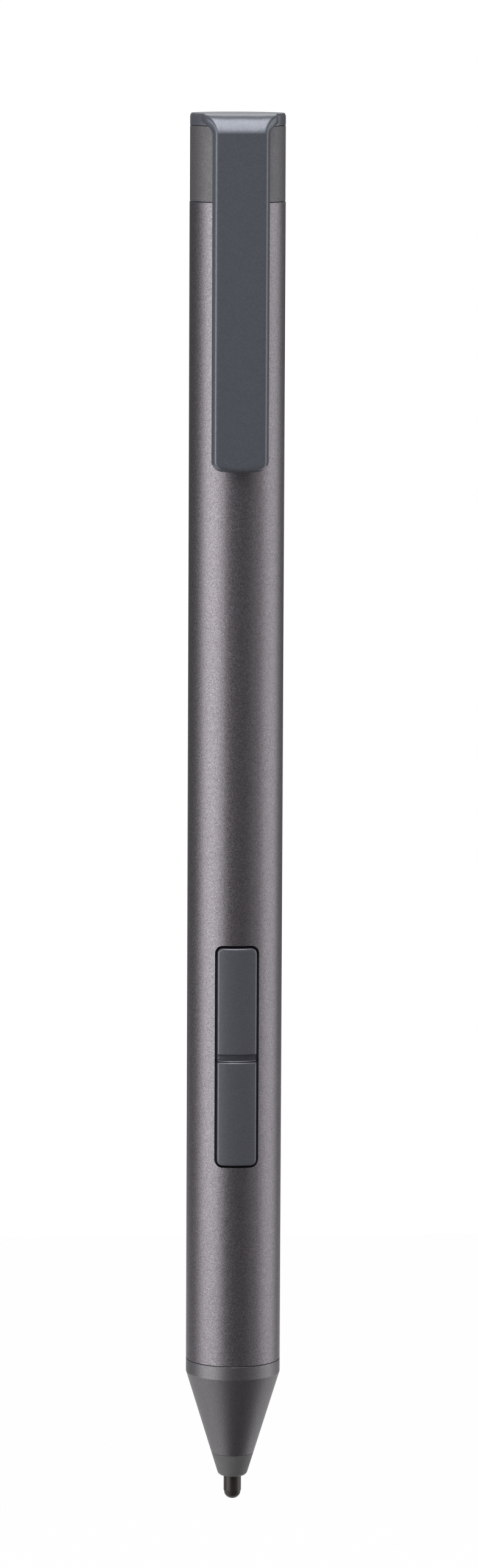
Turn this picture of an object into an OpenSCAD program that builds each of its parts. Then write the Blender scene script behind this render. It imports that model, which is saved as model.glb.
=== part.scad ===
// Active stylus pen: a round aluminium barrel with two side keys in one long slot, a tapered nose
// with a sprung writing nib, and a screw-on tail cap whose top plate bends down into a pocket clip.
// Lengths are millimetres. The pen stands upright: +Z runs from the nib to the tail, the origin is
// the end of the nib on the pen's axis, and the keys and the clip face -Y.

/* [Battery] */
// Diameter of the cell, over its jacket
battery_d = 8.2; // [7.4:0.1:10.6]
// Length of the cell, over its positive nub
battery_len = 42.4; // [38:0.1:46]
// Diameter of the positive nub
battery_nub_d = 3.6; // [2.6:0.1:4.2]
// Height of the positive nub
battery_nub_len = 0.9; // [0.7:0.05:1.1]
// Thickness of the jacket
battery_jacket_t = 0.12; // [0.1:0.01:0.16]
// Wall of the steel can
battery_can_t = 0.25; // [0.2:0.01:0.35]

/* [Barrel] */
// Length of the barrel tube
barrel_len = 116.6; // [108:0.1:140]
// Wall of the barrel tube
barrel_wall = 0.5; // [0.4:0.02:0.65]
// Chamfer on the ends of the tubes
edge_chamfer = 0.12; // [0.08:0.01:0.16]

/* [Side keys] */
// From the barrel's lower end up to the key slot
slot_up = 20.37; // [17:0.1:24]
// Length of the key slot
slot_len = 22.5; // [19:0.1:25]
// Width of the key slot
slot_w = 4.4; // [3.7:0.1:5]
// Length of the lower key
lower_key_len = 10.48; // [8.8:0.1:12]
// Radius of a key's outer corners, seen from the front
key_corner_r = 0.6; // [0.45:0.05:0.75]
// Radius of a key's corners at the split between the keys
key_split_r = 0.15; // [0.1:0.01:0.2]
// Radius along a key's front edges
key_edge_r = 0.3; // [0.2:0.01:0.4]
// How far a key's crown stands over the barrel
key_rise = 0.26; // [0.2:0.01:0.32]
// Radius of a key's crown, seen from its end
key_crown_r = 8; // [6.5:0.1:10]
// Height of the finger slope at the upper key's lower end
key_slope_len = 0.7; // [0.55:0.01:0.85]
// Depth of that slope
key_slope_drop = 0.55; // [0.45:0.01:0.65]
// Height of the ledge under the slope
key_ledge_len = 0.1; // [0.08:0.01:0.12]
// How far a key's hidden flange is wider than the key on each side
key_lip = 0.7; // [0.55:0.01:0.85]
// How far that flange reaches past the slot's end
key_end_lip = 0.6; // [0.5:0.01:0.75]
// Thickness of that flange
key_flange_t = 0.6; // [0.5:0.01:0.75]
// Length of the boss that presses the switch
key_boss_len = 0.55; // [0.45:0.01:0.65]
// Diameter of that boss
key_boss_d = 1.8; // [1.5:0.05:2.1]
// Travel of a key
key_travel = 0.25; // [0.2:0.01:0.3]

/* [Board and frame] */
// Thickness of the circuit board
board_t = 0.8; // [0.65:0.01:0.95]
// Width and length of a switch
switch_w = 3; // [2.6:0.05:3.5]
// Height of a switch
switch_h = 1.2; // [1:0.01:1.4]
// Diameter of a switch's stem
stem_d = 1.2; // [1:0.01:1.4]
// How far a stem stands out of its switch
stem_out = 0.4; // [0.34:0.01:0.46]
// How far a stem reaches into its switch
stem_in = 0.45; // [0.38:0.01:0.5]
// Thickness of the frame's rails beside the board
rail_t = 0.75; // [0.6:0.01:0.9]
// How far the rails stand in front of the board
rail_up = 0.6; // [0.5:0.01:0.7]
// Thickness of the frame behind the board's bays
frame_floor_t = 0.9; // [0.75:0.01:1.05]
// Thickness of the frame's two bulkheads
bulkhead_t = 1.5; // [1.25:0.01:1.8]
// Thickness of the ribs between the bays
rib_t = 1; // [0.8:0.01:1.2]
// Length of the frame's snap hooks
hook_len = 2.4; // [2:0.05:2.8]
// How far a hook reaches over the board
hook_reach = 0.4; // [0.3:0.01:0.5]
// Thickness of a hook
hook_t = 0.45; // [0.38:0.01:0.5]
// Width and length of a chip
chip_w = 4; // [3.4:0.05:4.6]
// Height of a chip
chip_h = 0.9; // [0.75:0.01:1.1]
// Length of a small board part
small_part_len = 1; // [0.85:0.01:1.15]
// Width and height of a small board part
small_part_w = 0.5; // [0.42:0.01:0.6]
// Diameter of the positive contact plate
contact_d = 6; // [5:0.05:6.6]
// Thickness of the contact metal
contact_t = 0.3; // [0.25:0.01:0.35]
// Diameter of the contact's bump
contact_bump_d = 1.8; // [1.5:0.05:2.2]
// Height of the contact's bump
contact_bump_h = 0.5; // [0.42:0.01:0.6]
// Width of the contact's tab
contact_tab_w = 1.2; // [1:0.01:1.4]
// How far that tab reaches over the board
contact_tab_len = 1.8; // [1.5:0.05:2.1]
// Width of the earthing leaf
leaf_w = 1.8; // [1.5:0.05:2.1]
// Thickness of the earthing leaf
leaf_t = 0.18; // [0.15:0.01:0.21]
// Length of the earthing leaf
leaf_len = 5; // [4.2:0.05:5.6]

/* [Nose] */
// Length of the plain band between the barrel and the taper
nose_band_len = 1.3; // [1.1:0.02:1.6]
// Length of the metal taper
nose_cone_len = 8.45; // [7.4:0.05:9.6]
// Diameter at the taper's lower end
nose_tip_d = 4.3; // [3.9:0.05:4.8]
// From the sensor's back up to the nose's upper end
nose_end_len = 1.28; // [1.1:0.02:1.6]
// Diameter of the bore that guides the nib holder
guide_d = 4; // [3.7:0.02:4.2]
// Length of the plastic collar that shows
collar_len = 2.35; // [2:0.02:2.7]
// Radius round the collar's mouth
collar_mouth_r = 0.36; // [0.28:0.01:0.42]
// Diameter of the collar's spigot
collar_spigot_d = 3; // [2.9:0.01:3.2]
// Length of the collar's spigot
collar_spigot_len = 4; // [3.5:0.05:4.5]
// Depth of solid collar in front of the electrode
collar_lip_len = 1.15; // [0.95:0.01:1.3]
// Wall of the electrode sleeve
electrode_t = 0.26; // [0.22:0.01:0.28]

/* [Nib] */
// How far the nib stands out of the collar
nib_out = 2.45; // [2.1:0.05:2.8]
// Length of the whole nib
nib_len = 15; // [14:0.1:18]
// Diameter of the nib's head
nib_d = 1.77; // [1.6:0.01:1.9]
// Length of the nib's head
nib_head_len = 4.6; // [4:0.05:5.2]
// Diameter of the nib's stem
nib_stem_d = 1.2; // [1.05:0.01:1.3]
// Diameter of the rounded writing end
nib_dome_d = 1.66; // [1.5:0.01:1.7]
// Length of the rounded writing end
nib_dome_len = 0.73; // [0.6:0.01:0.85]
// Length of the shoulder behind the writing end
nib_lip_len = 0.16; // [0.12:0.01:0.2]

/* [Tip sensor] */
// Travel of the nib when it is pressed
press_travel = 0.3; // [0.25:0.01:0.36]
// Diameter of the nib holder
holder_d = 2.4; // [2.2:0.01:2.6]
// Room past the nib's end in its holder
nib_end_gap = 0.56; // [0.4:0.02:0.9]
// Thickness of the holder's flange
holder_flange_t = 0.9; // [0.75:0.01:1.1]
// Thickness of the holder's closed end
holder_end_t = 1.6; // [1.3:0.01:1.8]
// Depth of the sensor's seat in the nose
sensor_seat_depth = 5.9; // [5.8:0.01:6.2]
// Wall of the sensor's housing
housing_wall = 0.75; // [0.65:0.01:0.85]
// Floor of the sensor's housing
housing_floor_t = 1; // [0.85:0.01:1.2]
// Diameter of the sensor
sensor_d = 5.1; // [4.8:0.01:5.3]
// Thickness of the sensor
sensor_t = 0.6; // [0.5:0.01:0.7]
// Thickness of the sensor's pad
pad_t = 0.5; // [0.42:0.01:0.56]
// Diameter of the sensor's pad
pad_d = 3.2; // [2.8:0.05:3.6]
// Wire of the nib's return spring
nib_spring_wire = 0.22; // [0.19:0.01:0.25]
// Turns of the nib's return spring
nib_spring_turns = 4.5; // [4:0.5:5]
// Width of the sensor's flat lead
flex_w = 2; // [1.7:0.05:2.3]
// Thickness of the sensor's flat lead
flex_t = 0.15; // [0.13:0.01:0.17]

/* [Cap] */
// Length of the cap's sleeve that shows
cap_sleeve_len = 7.35; // [7:0.05:8.6]
// How much smaller the cap's radius is than the barrel's
cap_inset = 0.03; // [0.025:0.001:0.035]
// Length of the threaded spigot in the barrel
cap_spigot_len = 4.45; // [3.9:0.05:5]
// Wall of the threaded spigot
cap_spigot_wall = 0.85; // [0.7:0.01:1]
// Thickness of the cap's web under its top plate
cap_web_t = 3.3; // [2.8:0.05:3.7]
// From the spigot's end up to the contact's seat
cap_contact_up = 3.25; // [2.8:0.05:3.7]
// Diameter of the cap's upper chamber
cap_chamber_d = 4.6; // [4.4:0.05:5]
// Thickness of the cap's contact
cap_contact_t = 0.35; // [0.3:0.01:0.4]
// Height of the cap contact's rim
cap_contact_rim = 1.5; // [1.25:0.05:1.75]
// Wire of the battery spring
battery_spring_wire = 0.5; // [0.42:0.01:0.58]
// Diameter of the battery spring, to the middle of its wire
battery_spring_d = 4.7; // [4.2:0.05:5]
// Turns of the battery spring
battery_spring_turns = 5; // [4.5:0.5:5.5]
// Length of the battery spring, as it sits in the closed pen
battery_spring_len = 6.4; // [5.7:0.05:7.2]

/* [Clip] */
// Thickness of the cap's top plate
plate_t = 1.2; // [1.05:0.01:1.35]
// Radius round the plate's rim
plate_rim_r = 0.35; // [0.28:0.01:0.42]
// Length of the clip, from the top of the pen
clip_len = 35.13; // [30:0.1:42]
// Width of the clip
clip_w = 5.64; // [4.9:0.05:6.2]
// Thickness of the clip
clip_t = 0.85; // [0.72:0.01:0.95]
// Gap between the clip and the barrel
clip_gap = 0.82; // [0.7:0.01:1]
// Outer radius of the clip's bend
clip_bend_r = 1.9; // [1.6:0.05:2.1]
// Radius along the clip's front edges
clip_edge_r = 0.3; // [0.25:0.01:0.35]
// Radius of the clip's lower corners
clip_corner_r = 1.15; // [0.95:0.01:1.35]
// How far the clip's lower end bows out
clip_end_bow = 0.12; // [0.1:0.01:0.15]
// How much wider the clip's root is than the clip, on each side
clip_flare = 0.68; // [0.56:0.01:0.8]
// Height over which the root narrows to the clip
clip_flare_len = 1.4; // [1.2:0.01:1.6]
// From the end of the bend down to where the clip starts to flex
clip_root_len = 0.5; // [0.42:0.01:0.6]
// Diameter of the plate's boss
boss_d = 2.6; // [2.4:0.01:2.9]
// Length of the plate's boss
boss_len = 3.2; // [2.7:0.05:3.5]
// Diameter of the clip screw's thread
screw_d = 1.6; // [1.4:0.01:1.8]
// Diameter of the clip screw's head
screw_head_d = 3.9; // [3.4:0.05:4.2]
// Height of the clip screw's head
screw_head_h = 1.1; // [0.9:0.01:1.3]
// Width across the flats of the screw's hex recess
screw_hex_w = 1.5; // [1.25:0.01:1.8]
// Depth of the screw's hex recess
screw_hex_depth = 0.6; // [0.5:0.01:0.7]

/* [Clearances] */
// Between the cell and the barrel's bore
battery_gap = 0.15; // [0.12:0.01:0.18]
// Around each key in its slot
key_gap = 0.2; // [0.16:0.01:0.24]
// Between the two keys
key_split_gap = 0.08; // [0.07:0.01:0.1]
// Between parts that slide or turn in each other
run_gap = 0.06; // [0.05:0.01:0.07]
// Between parts that are pushed or glued together
seat_gap = 0.02; // [0.016:0.001:0.024]
// Across the parting line of the barrel with its cap or nose
seam_gap = 0.1; // [0.08:0.01:0.12]
// Between the cap's spigot and the barrel's bore, room for the thread
thread_gap = 0.1; // [0.08:0.01:0.12]

/* [Hidden] */

// Round faces, small round faces, and steps along a rounded corner
$fn = 96;
small_fn = 48;
corner_steps = 6;
coil_steps = 16;
coil_sides = 6;
// How far a cut runs past the face that it opens
overrun = 0.5;

// Radii of the barrel, which is drawn round the cell
bore_r = battery_d / 2 + battery_gap;
barrel_r = bore_r + barrel_wall;
cap_r = barrel_r - cap_inset;

// Heights, from the end of the nib up
z_collar0 = nib_out;
z_collar1 = z_collar0 + collar_len;
z_cone0 = z_collar1 + seam_gap / 2;
z_band0 = z_cone0 + nose_cone_len;
z_band1 = z_band0 + nose_band_len;
z_barrel0 = z_band1 + seam_gap;
z_barrel1 = z_barrel0 + barrel_len;
z_guide0 = z_cone0 + collar_spigot_len + seam_gap;
z_holder0 = z_guide0 + run_gap;
z_flange1 = z_holder0 + holder_flange_t;
z_holder1 = nib_len + nib_end_gap + holder_end_t;
z_pad0 = z_holder1 + press_travel + run_gap;
z_sensor0 = z_pad0 + pad_t;
z_sensor1 = z_sensor0 + sensor_t;
z_nose_top = z_sensor1 + nose_end_len;
z_housing0 = z_nose_top - sensor_seat_depth;
z_frame0 = z_nose_top + seam_gap;
z_slot0 = z_barrel0 + slot_up;
z_slot1 = z_slot0 + slot_len;
z_sleeve0 = z_barrel1 + seam_gap;
z_spigot0 = z_sleeve0 - cap_spigot_len;
z_sleeve1 = z_sleeve0 + cap_sleeve_len;
z_plate0 = z_sleeve1 + seam_gap / 2;
z_top = z_plate0 + plate_t;
z_cap_contact1 = z_spigot0 + cap_contact_up;
z_cap_contact0 = z_cap_contact1 - cap_contact_t;
z_spring1 = z_cap_contact0 - seat_gap;
z_spring0 = z_spring1 - battery_spring_len;
z_battery1 = z_spring0 - seat_gap;
z_nub0 = z_battery1 - battery_len;
z_battery0 = z_nub0 + battery_nub_len;
z_contact0 = z_nub0 - seat_gap - contact_bump_h - contact_t;
z_frame1 = z_contact0 - seat_gap;
z_board0 = z_frame0 + bulkhead_t + run_gap;
z_board1 = z_frame1 - bulkhead_t - run_gap;
board_len = z_board1 - z_board0;

// Depths, from the front of a key back to the board: -Y is the front
key_w = slot_w - 2 * key_gap;
flange_w = key_w + 2 * key_lip;
y_crown = -barrel_r - key_rise;
y_flange0 = -sqrt(pow(bore_r - run_gap, 2) - pow(flange_w / 2, 2));
y_flange1 = y_flange0 + key_flange_t;
y_stem0 = y_flange1 + key_boss_len;
y_switch0 = y_stem0 + stem_out;
y_stem1 = y_switch0 + stem_in;
y_board0 = y_switch0 + switch_h;
y_board1 = y_board0 + board_t;

// Heights of the keys and of their switches
z_lower_key0 = z_slot0 + key_gap;
z_lower_key1 = z_lower_key0 + lower_key_len;
z_upper_key0 = z_lower_key1 + key_split_gap;
z_upper_key1 = z_slot1 - key_gap;
z_lower_switch = (z_lower_key0 + z_lower_key1) / 2;
z_upper_switch = (z_upper_key0 + z_upper_key1) / 2;

// The frame, and the board between its rails
frame_r = bore_r - run_gap;
board_face_y = max(abs(y_board0), abs(y_board1));
board_w = 2 * (sqrt(frame_r * frame_r - board_face_y * board_face_y) - rail_t);
bays = 3;
bay_pitch = board_len / bays;
bay_w = board_w - 2 * hook_reach;
// The bays that hold the two chips, and the one that holds the small parts
chip_bays = [0, 1];
small_part_bay = 2;
small_part_columns = 2;
small_part_rows = 4;
hook_shares = [0.06, 0.94];
// Where the earthing leaf sits between the board's lower end and the slot
leaf_share = 0.62;

// The nose and what is in it
collar_bore_r = nib_d / 2 + run_gap;
collar_seat_r = collar_spigot_d / 2 + seat_gap;
electrode_r = collar_bore_r + electrode_t;
taper = (barrel_r - nose_tip_d / 2) / nose_cone_len;
housing_r = sensor_d / 2 + seat_gap + housing_wall;
holder_flange_d = guide_d - 2 * run_gap;
holder_bore_d = nib_stem_d + 2 * seat_gap;
nib_spring_d = (holder_d + guide_d) / 2;
plug_t = housing_wall;

// The cap
spigot_r = bore_r - thread_gap;
spigot_bore_r = spigot_r - cap_spigot_wall;
z_web0 = z_sleeve1 - cap_web_t;
boss_hole_r = boss_d / 2 + run_gap;
z_boss0 = z_plate0 - boss_len;

// The clip
y_clip_out = -(barrel_r + clip_gap + clip_t);
y_clip_in = y_clip_out + clip_t;
y_bend = y_clip_out + clip_bend_r;
z_bend = z_top - clip_bend_r;
z_clip_cut = z_bend - clip_root_len;
z_clip0 = z_top - clip_len;

// Points along an arc, from angle a0 to angle a1
function arc(x, y, r, a0, a1, steps = corner_steps) =
    [for (i = [0:steps]) let (a = a0 + (a1 - a0) * i / steps) [x + r * cos(a), y + r * sin(a)]];

// Outline of an upright key or slot, with its own corner radius at each end
function upright_outline(w, low, high, low_r, high_r) = concat(
    arc(w / 2 - low_r, low + low_r, low_r, -90, 0),
    arc(w / 2 - high_r, high - high_r, high_r, 0, 90),
    arc(high_r - w / 2, high - high_r, high_r, 90, 180),
    arc(low_r - w / 2, low + low_r, low_r, 180, 270)
);

// Extrudes an outline drawn as seen from the front, from depth y0 back to depth y1
module from_front(y0, y1) {
    translate([0, y1, 0])
        rotate([90, 0, 0])
            linear_extrude(height = y1 - y0)
                children();
}

// Extrudes an outline of depth and height sideways, centred on the pen's axis
module from_side(w) {
    rotate([90, 0, 90])
        linear_extrude(height = w, center = true)
            children();
}

module block(w, y0, y1, z0, z1) {
    translate([-w / 2, y0, z0])
        cube([w, y1 - y0, z1 - z0]);
}

module rod(r, z0, z1) {
    translate([0, 0, z0])
        cylinder(r = r, h = z1 - z0);
}

module pipe(r, hole_r, z0, z1) {
    difference() {
        rod(r, z0, z1);
        rod(hole_r, z0 - overrun, z1 + overrun);
    }
}

// A round wire wound at a steady pitch: one unbroken tube
module coil(r, wire, z0, z1, turns) {
    rise = z1 - z0 - wire;
    rings = round(turns * coil_steps);
    slope = atan(rise / turns / (2 * PI * r));
    points = [
        for (i = [0:rings], k = [0:coil_sides - 1])
            let (a = 360 * turns * i / rings, b = 360 * k / coil_sides)
            let (out = r + wire / 2 * cos(b), side = wire / 2 * sin(b))
            [
                out * cos(a) - side * sin(slope) * sin(a),
                out * sin(a) + side * sin(slope) * cos(a),
                z0 + wire / 2 + rise * i / rings - side * cos(slope)
            ]
    ];
    sides = [
        for (i = [0:rings - 1], k = [0:coil_sides - 1])
            let (n = (k + 1) % coil_sides, low = i * coil_sides, high = low + coil_sides)
            each [[low + k, high + k, high + n], [low + k, high + n, low + n]]
    ];
    first_end = [[for (k = [0:coil_sides - 1]) k]];
    last_end = [[for (k = [0:coil_sides - 1]) rings * coil_sides + coil_sides - 1 - k]];
    echo("least gap between turns", rise / turns * cos(slope) - wire);
    polyhedron(points = points, faces = concat(sides, first_end, last_end), convexity = 10);
}

module barrel() color("#8b878c") {
    c = edge_chamfer;
    difference() {
        rotate_extrude()
            polygon([
                [bore_r, z_barrel0], [barrel_r - c, z_barrel0], [barrel_r, z_barrel0 + c],
                [barrel_r, z_barrel1 - c], [barrel_r - c, z_barrel1], [bore_r, z_barrel1]
            ]);
        from_front(-barrel_r - overrun, 0)
            polygon(upright_outline(slot_w, z_slot0, z_slot1,
                                    key_corner_r + key_gap, key_corner_r + key_gap));
    }
}

// Taper, band and spigot outside; seats for the collar, the nib holder and the sensor inside.
// The spigot is as long as the nib behind it needs.
module nose_cone() color("#8b878c") {
    c = edge_chamfer;
    spigot = bore_r - seat_gap;
    seat = housing_r + seat_gap;
    rotate_extrude()
        polygon([
            [collar_seat_r, z_cone0], [nose_tip_d / 2, z_cone0], [barrel_r, z_band0],
            [barrel_r, z_band1 - c], [barrel_r - c, z_band1], [spigot, z_band1],
            [spigot, z_nose_top - c], [spigot - c, z_nose_top], [seat, z_nose_top],
            [seat, z_housing0 - seat_gap], [guide_d / 2, z_housing0 - seat_gap],
            [guide_d / 2, z_guide0], [collar_seat_r, z_guide0]
        ]);
}

// The plastic collar carries the metal's taper on down to the nib
module tip_collar() color("#66666a") {
    m = collar_mouth_r;
    foot_r = nose_tip_d / 2 - taper * (z_cone0 - z_collar0);
    turn = 90 - atan(taper);
    spigot_top = z_cone0 + collar_spigot_len;
    rotate_extrude()
        polygon(concat(
            [[collar_bore_r, z_collar0]],
            arc(foot_r - m, z_collar0 + m, m, -90, turn - 90),
            [
                [nose_tip_d / 2 - taper * (z_cone0 - z_collar1), z_collar1],
                [collar_spigot_d / 2, z_collar1],
                [collar_spigot_d / 2, spigot_top],
                [electrode_r + seat_gap, spigot_top],
                [electrode_r + seat_gap, z_collar0 + collar_lip_len],
                [collar_bore_r, z_collar0 + collar_lip_len]
            ]
        ));
}

module tip_electrode() color("#c8a24b")
    pipe(electrode_r, collar_bore_r, z_collar0 + collar_lip_len + seat_gap,
         z_cone0 + collar_spigot_len, $fn = small_fn);

module hooks() {
    reach = hook_reach + run_gap + rail_t / 2;
    for (share = hook_shares, side = [-1, 1])
        translate([side * (board_w / 2 - hook_reach + reach / 2), 0, z_board0 + share * board_len])
            block(reach, y_board0 - rail_up, y_board0 - rail_up + hook_t,
                  -hook_len / 2, hook_len / 2);
}

// Half-round tray with a bulkhead at each end, three bays behind the board and snap hooks over it
module inner_frame() color("#3c3d40") {
    half = board_w / 2 + run_gap;
    difference() {
        rod(frame_r, z_frame0, z_frame1);
        block(2 * barrel_r, -barrel_r, y_board0 - rail_up, z_board0 - run_gap, z_board1 + run_gap);
        block(2 * half, y_board0 - rail_up - overrun, y_board1 + seat_gap,
              z_board0 - run_gap, z_board1 + run_gap);
        for (i = [0:bays - 1])
            block(bay_w, y_board1 - overrun, frame_r - frame_floor_t,
                  z_board0 + i * bay_pitch + rib_t / 2,
                  z_board0 + (i + 1) * bay_pitch - rib_t / 2);
        rod(sensor_d / 2 - plug_t, z_frame0 - overrun, z_board0, $fn = small_fn);
        block(contact_tab_w + 2 * run_gap, y_board0 - contact_t - run_gap, y_board0 + run_gap,
              z_board1, z_frame1 + overrun);
    }
    hooks();
    pipe(sensor_d / 2 - run_gap, sensor_d / 2 - plug_t, z_sensor1 + run_gap,
         z_frame0 + bulkhead_t / 2, $fn = small_fn);
}

module circuit_board() color("#1f5b3a")
    block(board_w, y_board0, y_board1, z_board0, z_board1);

function bay_middle(i) = z_board0 + (i + 0.5) * bay_pitch;

module control_chips() color("#1b1b1d")
    for (i = chip_bays)
        translate([0, 0, bay_middle(i)])
            block(chip_w, y_board1, y_board1 + chip_h, -chip_w / 2, chip_w / 2);

module board_parts() color("#b49a72")
    for (i = [0:small_part_columns - 1], k = [0:small_part_rows - 1])
        translate([
            2 * small_part_len * (i - (small_part_columns - 1) / 2),
            0,
            bay_middle(small_part_bay) + 2 * small_part_len * (k - (small_part_rows - 1) / 2)
        ])
            block(small_part_len, y_board1, y_board1 + small_part_w,
                  -small_part_w / 2, small_part_w / 2);

// Switch body with a blind hole that its stem slides in
module switch(z) {
    difference() {
        block(switch_w, y_switch0, y_board0, z - switch_w / 2, z + switch_w / 2);
        translate([0, y_stem1 + key_travel + run_gap, z])
            rotate([90, 0, 0])
                cylinder(d = stem_d + 2 * run_gap, $fn = small_fn,
                         h = y_stem1 + key_travel + run_gap - y_switch0 + overrun);
    }
}

module stem(z)
    translate([0, y_stem1, z])
        rotate([90, 0, 0])
            cylinder(d = stem_d, h = y_stem1 - y_stem0 - seat_gap, $fn = small_fn);

module upper_switch() color("#26272a") switch(z_upper_switch);

module lower_switch() color("#26272a") switch(z_lower_switch);

module upper_stem() color("#d9d6cf") stem(z_upper_switch);

module lower_stem() color("#d9d6cf") stem(z_lower_switch);

// Crown and rounded edges, as seen from the end of a key
function key_section() =
    let (hw = key_w / 2, e = key_edge_r, cy = y_crown + key_crown_r)
    let (run = key_crown_r - e, lean = asin((hw - e) / run), ey = cy - run * cos(lean))
    concat(
        [[-hw, y_flange1], [hw, y_flange1]],
        arc(hw - e, ey, e, 0, lean - 90),
        arc(0, cy, key_crown_r, lean - 90, -lean - 90, 2 * corner_steps),
        arc(e - hw, ey, e, -lean - 90, -180)
    );

// Front and end edges of a key, as seen from its side; slope gives the finger slope at its foot
function key_side(z0, z1, slope) =
    let (e = key_edge_r, back = y_flange1, drop = slope ? key_slope_drop : 0)
    concat(
        [[back, z1]],
        arc(y_crown + e, z1 - e, e, 90, 180),
        slope ? [
            [y_crown, z0 + key_ledge_len + key_slope_len],
            [y_crown + drop, z0 + key_ledge_len],
            [y_crown + drop, z0]
        ] : arc(y_crown + e, z0 + e, e, 180, 270),
        [[back, z0]]
    );

// A key: crowned front, flange that keeps it behind the barrel, and a boss over its switch
module key(z0, z1, low_r, high_r, flange_low, flange_high, slope) {
    middle = (z0 + z1) / 2;
    intersection() {
        translate([0, 0, z0])
            linear_extrude(height = z1 - z0)
                polygon(key_section());
        from_front(y_crown - overrun, y_flange1)
            polygon(upright_outline(key_w, z0, z1, low_r, high_r));
        from_side(key_w + 2 * overrun)
            polygon(key_side(z0, z1, slope));
    }
    block(flange_w, y_flange0, y_flange1, flange_low, flange_high);
    translate([0, y_stem0, middle])
        rotate([90, 0, 0])
            cylinder(d = key_boss_d, h = y_stem0 - y_flange1 + key_flange_t / 2, $fn = small_fn);
}

module upper_button() color("#494b51")
    key(z_upper_key0, z_upper_key1, key_split_r, key_corner_r,
        z_upper_key0, z_slot1 + key_end_lip, true);

module lower_button() color("#494b51")
    key(z_lower_key0, z_lower_key1, key_corner_r, key_split_r,
        z_slot0 - key_end_lip, z_lower_key1, false);

// Leaf that earths the board to the barrel: a foot, a slope and a rolled end
module earth_leaf() color("#c8a24b") {
    z0 = z_board0 + leaf_share * (z_slot0 - key_end_lip - z_board0) - leaf_len / 2;
    touch_y = -bore_r + run_gap;
    foot = leaf_len / 3;
    from_side(leaf_w)
        polygon([
            [y_board0 - seat_gap, z0], [y_board0 - seat_gap, z0 + foot],
            [touch_y + 2 * leaf_t, z0 + leaf_len - leaf_t], [touch_y + 2 * leaf_t, z0 + leaf_len],
            [touch_y + leaf_t / 2, z0 + leaf_len], [touch_y + leaf_t / 2, z0 + leaf_len - 3 * leaf_t],
            [y_board0 - seat_gap - leaf_t, z0 + foot - leaf_t], [y_board0 - seat_gap - leaf_t, z0]
        ]);
}

// Plate and bump under the cell's nub, with a tab down to the board
module battery_contact() color("#c9c6bd") {
    rod(contact_d / 2, z_contact0, z_contact0 + contact_t, $fn = small_fn);
    rod(contact_bump_d / 2, z_contact0, z_contact0 + contact_t + contact_bump_h, $fn = small_fn);
    block(contact_tab_w, y_board0 - contact_t, y_board0 - seat_gap,
          z_board1 - contact_tab_len, z_contact0 + contact_t);
}

module sensor_housing() color("#e3e0d8") {
    inner_r = housing_r - housing_wall;
    difference() {
        rod(housing_r, z_housing0, z_nose_top);
        rod(inner_r, z_housing0 + housing_floor_t, z_nose_top + overrun);
        rod(holder_d / 2 + 2 * run_gap, z_housing0 - overrun, z_nose_top, $fn = small_fn);
    }
}

module force_sensor() color("#caa45a")
    rod(sensor_d / 2, z_sensor0, z_sensor1, $fn = small_fn);

module sensor_pad() color("#8d9196")
    rod(pad_d / 2, z_pad0, z_sensor0, $fn = small_fn);

// Flat lead from the sensor's back up the front of the board
module sensor_flex() color("#b5682c") {
    y0 = y_board0 - seat_gap - flex_t;
    block(flex_w, y0, -y0, z_sensor1 + seat_gap, z_sensor1 + seat_gap + flex_t);
    block(flex_w, y0, y0 + flex_t, z_sensor1 + seat_gap, z_board0 + flex_w);
}

// Sleeve that grips the nib's stem, with a flange for its return spring and a closed end
module nib_holder() color("#dcd9d0")
    difference() {
        union() {
            rod(holder_d / 2, z_holder0, z_holder1, $fn = small_fn);
            rod(holder_flange_d / 2, z_holder0, z_flange1, $fn = small_fn);
        }
        rod(holder_bore_d / 2, z_holder0 - overrun, z_holder1 - holder_end_t, $fn = small_fn);
    }

module nib_spring() color("#b9bcc1")
    coil(nib_spring_d / 2, nib_spring_wire, z_flange1 + seat_gap, z_housing0 - seat_gap,
         nib_spring_turns);

// Rounded writing end, shoulder, head and stem in one turned piece
module nib() color("#2a2220") {
    lip_z = nib_dome_len + nib_lip_len;
    stem_r = nib_stem_d / 2;
    c = edge_chamfer;
    rotate_extrude($fn = small_fn)
        polygon(concat(
            [for (i = [0:corner_steps * 2])
                let (a = 90 * i / (corner_steps * 2))
                [nib_dome_d / 2 * sin(a), nib_dome_len * (1 - cos(a))]],
            [
                [nib_d / 2, lip_z], [nib_d / 2, nib_head_len - c], [nib_d / 2 - c, nib_head_len],
                [stem_r, nib_head_len], [stem_r, nib_len - c], [stem_r - c, nib_len], [0, nib_len]
            ]
        ));
}

module battery_jacket() color("#3f4f63")
    pipe(battery_d / 2, battery_d / 2 - battery_jacket_t, z_battery0, z_battery1);

module battery_can() color("#c3c5c8") {
    r = battery_d / 2 - battery_jacket_t - seat_gap;
    difference() {
        rod(r, z_battery0 + battery_can_t, z_battery1);
        rod(r - battery_can_t, z_battery0 - overrun, z_battery1 - battery_can_t);
    }
}

module battery_core() color("#4a4a48")
    rod(battery_d / 2 - battery_jacket_t - 2 * seat_gap - battery_can_t,
        z_battery0 + 2 * battery_can_t + seat_gap, z_battery1 - battery_can_t - seat_gap);

module battery_nub() color("#d2d4d6") {
    r = battery_nub_d / 2;
    c = edge_chamfer;
    rotate_extrude($fn = small_fn)
        polygon([
            [0, z_nub0], [r - c, z_nub0], [r, z_nub0 + c], [r, z_battery0 + 2 * battery_can_t],
            [0, z_battery0 + 2 * battery_can_t]
        ]);
}

module battery_seal() color("#2c2c2e")
    pipe(battery_d / 2 - battery_jacket_t - seat_gap, battery_nub_d / 2 + seat_gap,
         z_battery0, z_battery0 + battery_can_t - seat_gap);

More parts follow.
